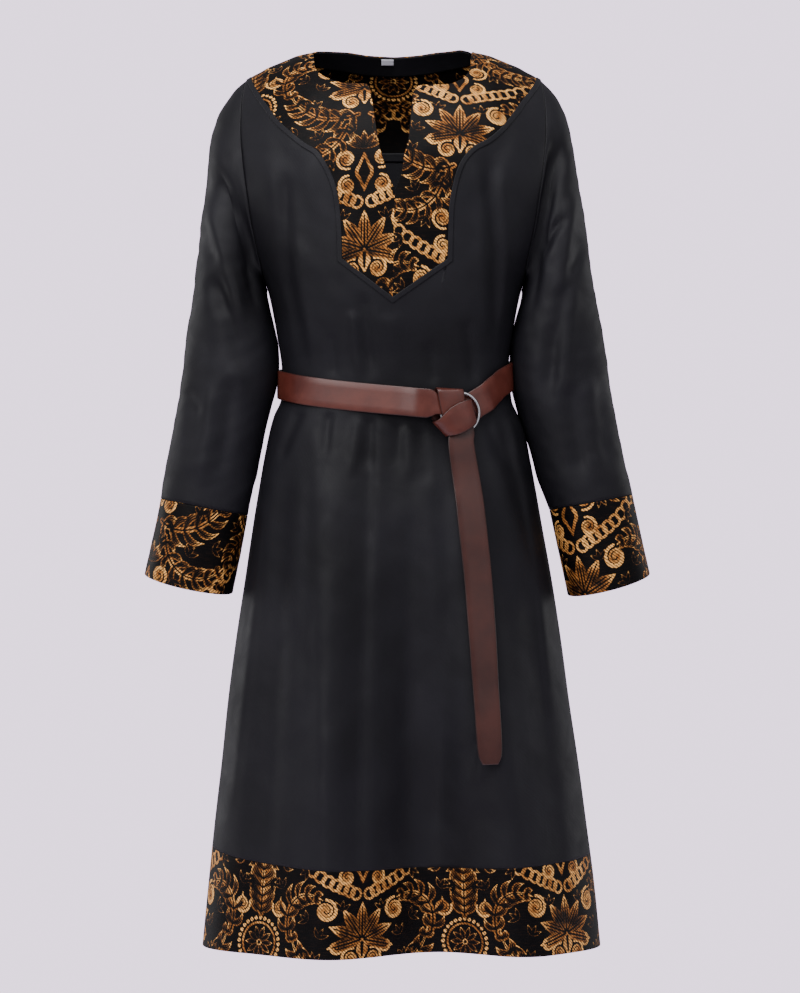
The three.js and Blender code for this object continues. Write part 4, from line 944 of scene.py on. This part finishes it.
def waist_at(angle, lift):
    """Point of the waist's section at an angle from the front, lifted along its normal."""
    s, c = np.sin(angle), np.cos(angle)
    deep = np.where(c > 0, WAIST_FRONT, WAIST_BACK)
    x = WAIST_HALF * np.sign(s) * np.abs(s)**(2 / ROUND)
    y = -deep * np.sign(c) * np.abs(c)**(2 / ROUND)
    n = np.stack([np.sign(x) * np.abs(x / WAIST_HALF)**(ROUND - 1) / WAIST_HALF,
                  np.sign(y) * np.abs(y / deep)**(ROUND - 1) / deep], -1)
    n /= np.linalg.norm(n, axis=-1, keepdims=True)
    return np.stack([WAIST_X + x, y], -1) + n * np.asarray(lift)[..., None]


KNOT_X, KNOT_Z, KNOT_TURN = 80.5, -470.5, np.radians(19)
knot_xy = waist_at(np.arcsin(((KNOT_X - WAIST_X) / WAIST_HALF)**(ROUND / 2)), 1.2)


def knot_point(l, h, q):
    """Point of the knot: l to the right and h up in the plane that touches the waist, q outwards."""
    c, s = np.cos(KNOT_TURN), np.sin(KNOT_TURN)
    return np.stack([knot_xy[0] + l * c + q * s, knot_xy[1] + l * s - q * c, KNOT_Z + h], -1)


# l, h, q, direction of the width (l, h), width: the sewn end, the fold round the ring, and away
STRAP_START = np.array([
    (-54, 9.9, 5.0, 0.1, 1, 25), (-44, 9.0, 5.2, 0.1, 1, 24), (-32, 7, 5.3, 0.15, 0.99, 22),
    (-22.4, 4.2, 5.8, 0.2, 0.98, 20), (-17.7, 2.5, 7.3, 0.2, 0.98, 18),
    (-16.5, 2.1, 9.7, 0.2, 0.98, 18), (-17.7, 2.5, 12.1, 0.2, 0.98, 18),
    (-22.8, 4.4, 13.4, 0.2, 0.98, 20), (-30.5, 6.9, 13.2, 0.17, 0.985, 24.5),
    (-36.5, 8.2, 12.8, 0.14, 0.99, 32), (-42, 9.2, 12, 0.12, 0.99, 36.5), (-50, 9.8, 10.6, 0.1, 1, 37),
    (-61, 10.6, 8.6, 0.1, 1, 37)])
# angle from the front, height, lift
STRAP_ROUND = np.array([
    (-2, -456, 3.6), (-14, -454, 3.1), (-27, -450, 3.1), (-40, -446, 3.1), (-53, -442, 3.5),
    (-66, -438, 3.1), (-79, -435, 3.1), (-92, -433, 3.1), (-105, -431, 3.1), (-120, -429, 3.1),
    (-135, -428, 3.1), (-150, -427, 3.1), (-165, -426, 3.1), (-180, -425, 3.1), (-195, -424, 3.1),
    (-210, -423, 3.1), (-225, -422, 3.1), (-240, -421, 3.1), (-255, -420.5, 3.1), (-268, -421, 3.1),
    (-281, -424, 3.1), (-293, -429.5, 3.1), (-304, -437, 3.1)])
STRAP_KNOT = np.array([
    (44, 19.8, 3.0, -0.4, 0.92, 36.5), (34, 14.4, 3.8, -0.42, 0.91, 36),
    (27, 10.6, 4.6, -0.42, 0.91, 36), (21.5, 7.2, 5, -0.38, 0.925, 36), (17, 3.6, 6, -0.31, 0.95, 35),
    (17, 0.8, 9.6, -0.26, 0.966, 27), (16.8, 0.7, 13.6, -0.26, 0.966, 27.5),
    (15.2, 0.2, 17.6, -0.28, 0.96, 30), (10.6, -2.0, 20.2, -0.35, 0.937, 33.5),
    (2, -6.6, 21.4, -0.44, 0.9, 36), (-7, -11.8, 21.3, -0.5, 0.866, 35.5),
    (-16, -17, 20.6, -0.57, 0.82, 31.5), (-23, -21, 17.8, -0.64, 0.77, 25.6),
    (-26.6, -23, 12.2, -0.68, 0.73, 25), (-25.6, -22.4, 7, -0.74, 0.67, 25.5),
    (-21.6, -18.6, 4.0, -0.82, 0.57, 30), (-18.6, -9, 2.3, -0.92, 0.39, 33),
    (-16.4, 4, 2.2, -0.97, 0.22, 34.5), (-15.2, 16, 2.2, -0.99, 0.12, 35),
    (-14.8, 24.4, 4.2, -1, 0.06, 35), (-14.6, 27.4, 9.2, -1, 0.05, 35), (-14.4, 25.8, 14.8, -1, 0, 35),
    (-13.4, 19.5, 16.5, -0.98, -0.18, 35), (-11.8, 8.5, 16.7, -0.965, -0.26, 34),
    (-8.2, -4, 16.4, -0.96, -0.28, 33.5), (-2, -17, 15.2, -0.96, -0.28, 32.5),
    (3.1, -27.5, 13.6, -0.98, -0.18, 32)])
# x, z, width of the hanging tail
STRAP_TAIL = np.array([
    (85.2, -506, 34.5), (88.3, -530, 36.4), (91.8, -552, 37), (95.8, -578, 37.5), (99, -605, 38),
    (102, -633, 38), (105, -660, 37.8), (108, -692, 37.5), (110.4, -725, 37.2), (112.6, -756, 36.8),
    (114.6, -788, 36), (116.6, -820, 35), (118.8, -852, 34.5), (120.8, -884, 34), (122, -906, 31),
    (122.3, -917, 21)])


def through(points, fine):
    """Smooth line through points: on each step, the cubic whose slopes at its ends join the
    neighbouring points, `fine` places a step."""
    p = np.concatenate([2 * points[:1] - points[1:2], points, 2 * points[-1:] - points[-2:-1]])
    t = (np.arange(fine) / fine)[None, :, None]
    a, b, c, d = (p[k:len(p) - 3 + k, None, :] for k in range(4))
    line = 0.5 * (2 * b + (c - a) * t + (2 * a - 5 * b + 4 * c - d) * t**2
                  + (3 * b - a - 3 * c + d) * t**3)
    return np.concatenate([line.reshape(-1, points.shape[1]), points[-1:]])


def knot_way(l, h):
    """Direction in the knot's plane."""
    return np.stack([l * np.cos(KNOT_TURN), l * np.sin(KNOT_TURN), h], -1)


turn = np.radians(STRAP_ROUND[:, 0])
rounds = np.column_stack([waist_at(turn, STRAP_ROUND[:, 2]), STRAP_ROUND[:, 1]])
lean = LEAN_MOST * smooth((LEAN_FROM - STRAP_ROUND[:, 0]) / LEAN_OVER)
round_way = np.column_stack([lean * np.cos(turn), lean * np.sin(turn), np.ones(len(turn))])
reach = np.array([-18, -9, 0, 9, 18.0])
tail_x, tail_z = STRAP_TAIL[:, 0], STRAP_TAIL[:, 1]
tail_at = (tail_x[:, None] + reach, tail_z[:, None] + 0 * reach, -1)
plain, folded = ((body_y(*tail_at, folds) - np.tan(KNOT_TURN) * reach).min(1) for folds in (False, True))
lift = mix(12, 4.2, smooth((-506 - tail_z) / 70))
tail_y = np.minimum(plain - lift, folded - 3.0)
stations = np.concatenate([
    np.column_stack([knot_point(*STRAP_START[:, :3].T), knot_way(*STRAP_START[:, 3:5].T),
                     STRAP_START[:, 5]]),
    np.column_stack([rounds, round_way, np.full(len(rounds), 37.0)]),
    np.column_stack([knot_point(*STRAP_KNOT[:, :3].T), knot_way(*STRAP_KNOT[:, 3:5].T),
                     STRAP_KNOT[:, 5]]),
    np.column_stack([tail_x, tail_y, tail_z,
                     knot_way(np.full(len(tail_x), -1.0), np.full(len(tail_x), -0.1)),
                     STRAP_TAIL[:, 2]])])
PER_STEP = 7     # points worked out between two stations
line = through(stations, PER_STEP)
# where the strap leaves the ring, meets the knot and hangs from it, it runs on without a kink: its
# place is a moving average over six steps or two, its direction and width one over six
step, round_start = np.arange(len(line)) / PER_STEP, len(STRAP_START)
knot_start = round_start + len(STRAP_ROUND)
tail_start = knot_start + len(STRAP_KNOT)
for columns, spread, stretches in (
        (slice(0, 3), 22, ((round_start - 2.5, round_start + 4), (knot_start - 2.5, knot_start + 1.5))),
        (slice(0, 3), 8, ((tail_start - 2.5, tail_start + 4),)),
        (slice(3, 7), 22, ((round_start - 2.5, knot_start + 1.5), (tail_start - 2.5, tail_start + 4)))):
    even = np.hanning(2 * spread + 1) / np.hanning(2 * spread + 1).sum()
    evened = np.stack([np.convolve(np.pad(c, spread, mode="edge"), even, mode="valid")
                       for c in line[:, columns].T], -1)
    share = sum(smooth((step - a) / 2) * smooth((b - step) / 2) for a, b in stretches)
    line[:, columns] = mix(line[:, columns], evened, share[:, None])
centre, way, width = line[:, :3], line[:, 3:6], line[:, 6:7]
tangent = np.gradient(centre, axis=0)
tangent /= np.linalg.norm(tangent, axis=1, keepdims=True)
way = way - tangent * (way * tangent).sum(1, keepdims=True)
way /= np.linalg.norm(way, axis=1, keepdims=True)
out = np.cross(tangent, way)
# section of the strap: flat faces with rounded edges, as (share of half width, share of thickness)
section = np.array([(-1, -0.15), (-1, 0.15), (-0.975, 0.38), (-0.93, 0.5), (-0.6, 0.53), (-0.2, 0.55),
                    (0.2, 0.55), (0.6, 0.53), (0.93, 0.5), (0.975, 0.38), (1, 0.15), (1, -0.15),
                    (0.975, -0.38), (0.93, -0.5), (0.5, -0.5), (-0.5, -0.5), (-0.93, -0.5), (-0.975, -0.38)])
points = (centre[:, None, :] + way[:, None, :] * (section[None, :, :1] * width[:, None, :] / 2)
          + out[:, None, :] * (section[None, :, 1:] * STRAP_THICK))
rows, cols = points.shape[:2]
i, j = np.meshgrid(np.arange(cols), np.arange(rows - 1))
a, b = j * cols + i, j * cols + (i + 1) % cols
quads = np.stack([a, b, b + cols, a + cols], -1).reshape(-1, 4)
faces = quads.tolist() + [list(range(cols))[::-1], list(range((rows - 1) * cols, rows * cols))]
mesh = bpy.data.meshes.new("strap_leather")
mesh.from_pydata((points.reshape(-1, 3) / 1000).tolist(), [], faces)
length = np.concatenate([[0], np.cumsum(np.linalg.norm(np.diff(centre, axis=0), axis=1))]) / 1000
layer = mesh.attributes.new("along", "FLOAT", "POINT")
layer.data.foreach_set("value", np.repeat(length, cols).astype(np.float32))
layer = mesh.attributes.new("edge", "FLOAT", "POINT")
layer.data.foreach_set("value", np.tile(np.abs(section[:, 0]), rows).astype(np.float32))
mesh.update()
mesh.polygons.foreach_set("use_smooth", np.ones(len(mesh.polygons), bool))

# Strap leather: vegetable-tanned hide dyed red-brown and waxed, so it is half glossy with a fine
# grain of about 0.8 mm (drawn 1.6 mm), darker burnished edges and faint creases across.
leather, t = new_material("brown waxed strap leather")
place = add(t, "ShaderNodeTexCoord").outputs["Object"]
edge = add(t, "ShaderNodeAttribute", attribute_name="edge").outputs["Fac"]
along = add(t, "ShaderNodeAttribute", attribute_name="along").outputs["Fac"]
grain = add(t, "ShaderNodeTexVoronoi", {"Vector": place, "Scale": 620.0}, feature="DISTANCE_TO_EDGE")
cloudy = add(t, "ShaderNodeTexNoise", {"Vector": place, "Scale": 24.0, "Detail": 5.0, "Roughness": 0.6})
dye = add(t, "ShaderNodeValToRGB", {"Fac": cloudy.outputs["Fac"]})
dye.color_ramp.elements[0].color = hex_linear("#411a14")
dye.color_ramp.elements[1].color = hex_linear("#56281f")
dye.color_ramp.elements[0].position, dye.color_ramp.elements[1].position = 0.35, 0.68
rim = add(t, "ShaderNodeMapRange", {"Value": edge, "From Min": 0.9, "From Max": 1.0,
                                    "To Min": 0.0, "To Max": 0.75})
tinted = add(t, "ShaderNodeMix", {"Factor": rim.outputs["Result"]}, data_type="RGBA")
t.links.new(dye.outputs["Color"], tinted.inputs["A"])
tinted.inputs["B"].default_value = hex_linear("#1d0d0c")
# painted shade: the hanging end, past the knot, is darkened to half its colour
deep = add(t, "ShaderNodeMapRange", {"Value": along, "From Min": length[PER_STEP * (tail_start - 3)],
                                     "From Max": length[PER_STEP * (tail_start - 1)],
                                     "To Min": 1.0, "To Max": 0.5})
# the dye's colour, with the painted shade on the hanging end
dye_and_tail_shade = add(t, "ShaderNodeVectorMath", {0: tinted.outputs["Result"]}, operation="SCALE")
t.links.new(deep.outputs["Result"], dye_and_tail_shade.inputs["Scale"])
wax = add(t, "ShaderNodeMapRange", {"Value": cloudy.outputs["Fac"], "From Min": 0.3, "From Max": 0.7,
                                    "To Min": 0.33, "To Max": 0.45})
relief = add(t, "ShaderNodeBump", {"Height": cloudy.outputs["Fac"], "Strength": 0.12, "Distance": 0.002})
relief = add(t, "ShaderNodeBump", {"Height": grain.outputs["Distance"], "Strength": 0.12,
                                   "Distance": 0.0003, "Normal": relief.outputs["Normal"]})
skin = add(t, "ShaderNodeBsdfPrincipled", {
    "Base Color": dye_and_tail_shade.outputs["Vector"], "Roughness": wax.outputs["Result"], "IOR": 1.5,
    "Specular IOR Level": 0.36, "Coat Weight": 0.1, "Coat Roughness": 0.3,
    "Normal": relief.outputs["Normal"]})
add(t, "ShaderNodeOutputMaterial", {"Surface": skin.outputs["BSDF"]})
mesh.materials.append(leather)
strap = bpy.data.objects.new("strap_leather", mesh)
bpy.context.scene.collection.objects.link(strap)
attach(strap, "root")
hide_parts("belt_strap")

# steel ring: welded 4 mm wire, polished
steel, t = new_material("polished steel wire")
place = add(t, "ShaderNodeTexCoord").outputs["Object"]
scuff = add(t, "ShaderNodeTexNoise", {"Vector": place, "Scale": 180.0, "Detail": 4.0})
bright = add(t, "ShaderNodeMapRange", {"Value": scuff.outputs["Fac"], "To Min": 0.14, "To Max": 0.32})
skin = add(t, "ShaderNodeBsdfPrincipled", {"Base Color": hex_linear("#c8c8cc"), "Metallic": 1.0,
                                           "Roughness": bright.outputs["Result"]})
add(t, "ShaderNodeOutputMaterial", {"Surface": skin.outputs["BSDF"]})
a, b = np.meshgrid(np.linspace(0, 2 * np.pi, 96, endpoint=False),
                   np.linspace(0, 2 * np.pi, 18, endpoint=False), indexing="ij")
r = RING_MAJOR + RING_WIRE * np.cos(b)
points = knot_point(RING_L + r * np.cos(a), RING_H + r * np.sin(a), RING_LIFT + RING_WIRE * np.sin(b))
i, j = np.meshgrid(np.arange(18), np.arange(96))
corner = lambda jj, ii: (jj % 96) * 18 + ii % 18
quads = np.stack([corner(j, i), corner(j + 1, i), corner(j + 1, i + 1), corner(j, i + 1)], -1).reshape(-1, 4)
mesh = bpy.data.meshes.new("ring_steel")
mesh.from_pydata((points.reshape(-1, 3) / 1000).tolist(), [], quads.tolist())
mesh.update()
mesh.polygons.foreach_set("use_smooth", np.ones(len(mesh.polygons), bool))
mesh.materials.append(steel)
ring_piece = bpy.data.objects.new("ring_steel", mesh)
bpy.context.scene.collection.objects.link(ring_piece)
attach(ring_piece, "root")
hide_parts("belt_ring")

# ---------------------------------------------------------------------------------------------
# Stage: a round pale floor under the garment, a pale surround on every side, soft studio lights,
# and a level camera 4.5 m away at the middle of the garment's height.
# ---------------------------------------------------------------------------------------------
FLOOR_Z, FLOOR_R = -1.47, 1.6
turn = np.linspace(0, 2 * np.pi, 128, endpoint=False)
mesh = bpy.data.meshes.new("studio_floor")
rim = np.column_stack([FLOOR_R * np.cos(turn), FLOOR_R * np.sin(turn), 0 * turn + FLOOR_Z])
mesh.from_pydata(rim.tolist(), [], [list(range(len(turn)))])
paper, t = new_material("pale studio paper")
skin = add(t, "ShaderNodeBsdfPrincipled", {"Base Color": hex_linear("#eee4f5"), "Roughness": 0.9,
                                           "Specular IOR Level": 0.1})
add(t, "ShaderNodeOutputMaterial", {"Surface": skin.outputs["BSDF"]})
mesh.materials.append(paper)
floor = bpy.data.objects.new("studio_floor", mesh)
bpy.context.scene.collection.objects.link(floor)

# the surround is bright to the eye, and lights the cloth only softly
world = bpy.data.worlds.new("studio")
world.use_nodes = True
tree = world.node_tree
tree.nodes.clear()
seen = add(tree, "ShaderNodeBackground", {"Color": hex_linear("#eddaf4"), "Strength": 2.5})
soft_light = add(tree, "ShaderNodeBackground", {"Color": hex_linear("#eceaf0"), "Strength": 0.55})
ray = add(tree, "ShaderNodeLightPath")
both = add(tree, "ShaderNodeMixShader", {"Fac": ray.outputs["Is Camera Ray"], 1: soft_light.outputs[0],
                                         2: seen.outputs[0]})
add(tree, "ShaderNodeOutputWorld", {"Surface": both.outputs[0]})
bpy.context.scene.world = world

# name, place, aim, width, height, watts
for name, place, aim, wide, high, power in (
        ("key", (-2.2, -3.0, 1.1), (-0.05, 0, -0.2), 1.6, 2.2, 92),
        ("fill", (2.6, -2.8, 0.7), (0, 0, -0.3), 1.6, 2.2, 13),
        ("top", (0.0, -1.3, 1.6), (0, 0, -0.2), 2.4, 1.4, 74),
        ("left_rim", (-2.4, 1.2, -0.2), (0, 0, -0.6), 1.2, 2.2, 26),
        ("right_rim", (2.4, 1.2, -0.2), (0, 0, -0.6), 1.2, 2.2, 14)):
    data = bpy.data.lights.new(name, "AREA")
    data.shape, data.size, data.size_y, data.energy = "RECTANGLE", wide, high, power
    lamp = bpy.data.objects.new(name, data)
    d = np.array(aim, float) - np.array(place, float)
    lamp.location = place
    lamp.rotation_euler = (np.arctan2(np.hypot(d[0], d[1]), -d[2]), 0, np.arctan2(-d[0], d[1]))
    bpy.context.scene.collection.objects.link(lamp)

# the picture's long side takes in FRAME_HIGH metres at the garment's middle plane
EYE_BACK, EYE_X, EYE_Z, FRAME_HIGH, SENSOR = 4.5, 0.0085, -0.5792, 1.291, 36.0
camera_data = bpy.data.cameras.new("camera")
camera_data.sensor_width = SENSOR
camera_data.lens = SENSOR * EYE_BACK / FRAME_HIGH
camera = bpy.data.objects.new("camera", camera_data)
camera.location = (EYE_X, -EYE_BACK, EYE_Z)
camera.rotation_euler = (np.pi / 2, 0, 0)
bpy.context.scene.collection.objects.link(camera)
bpy.context.scene.camera = camera
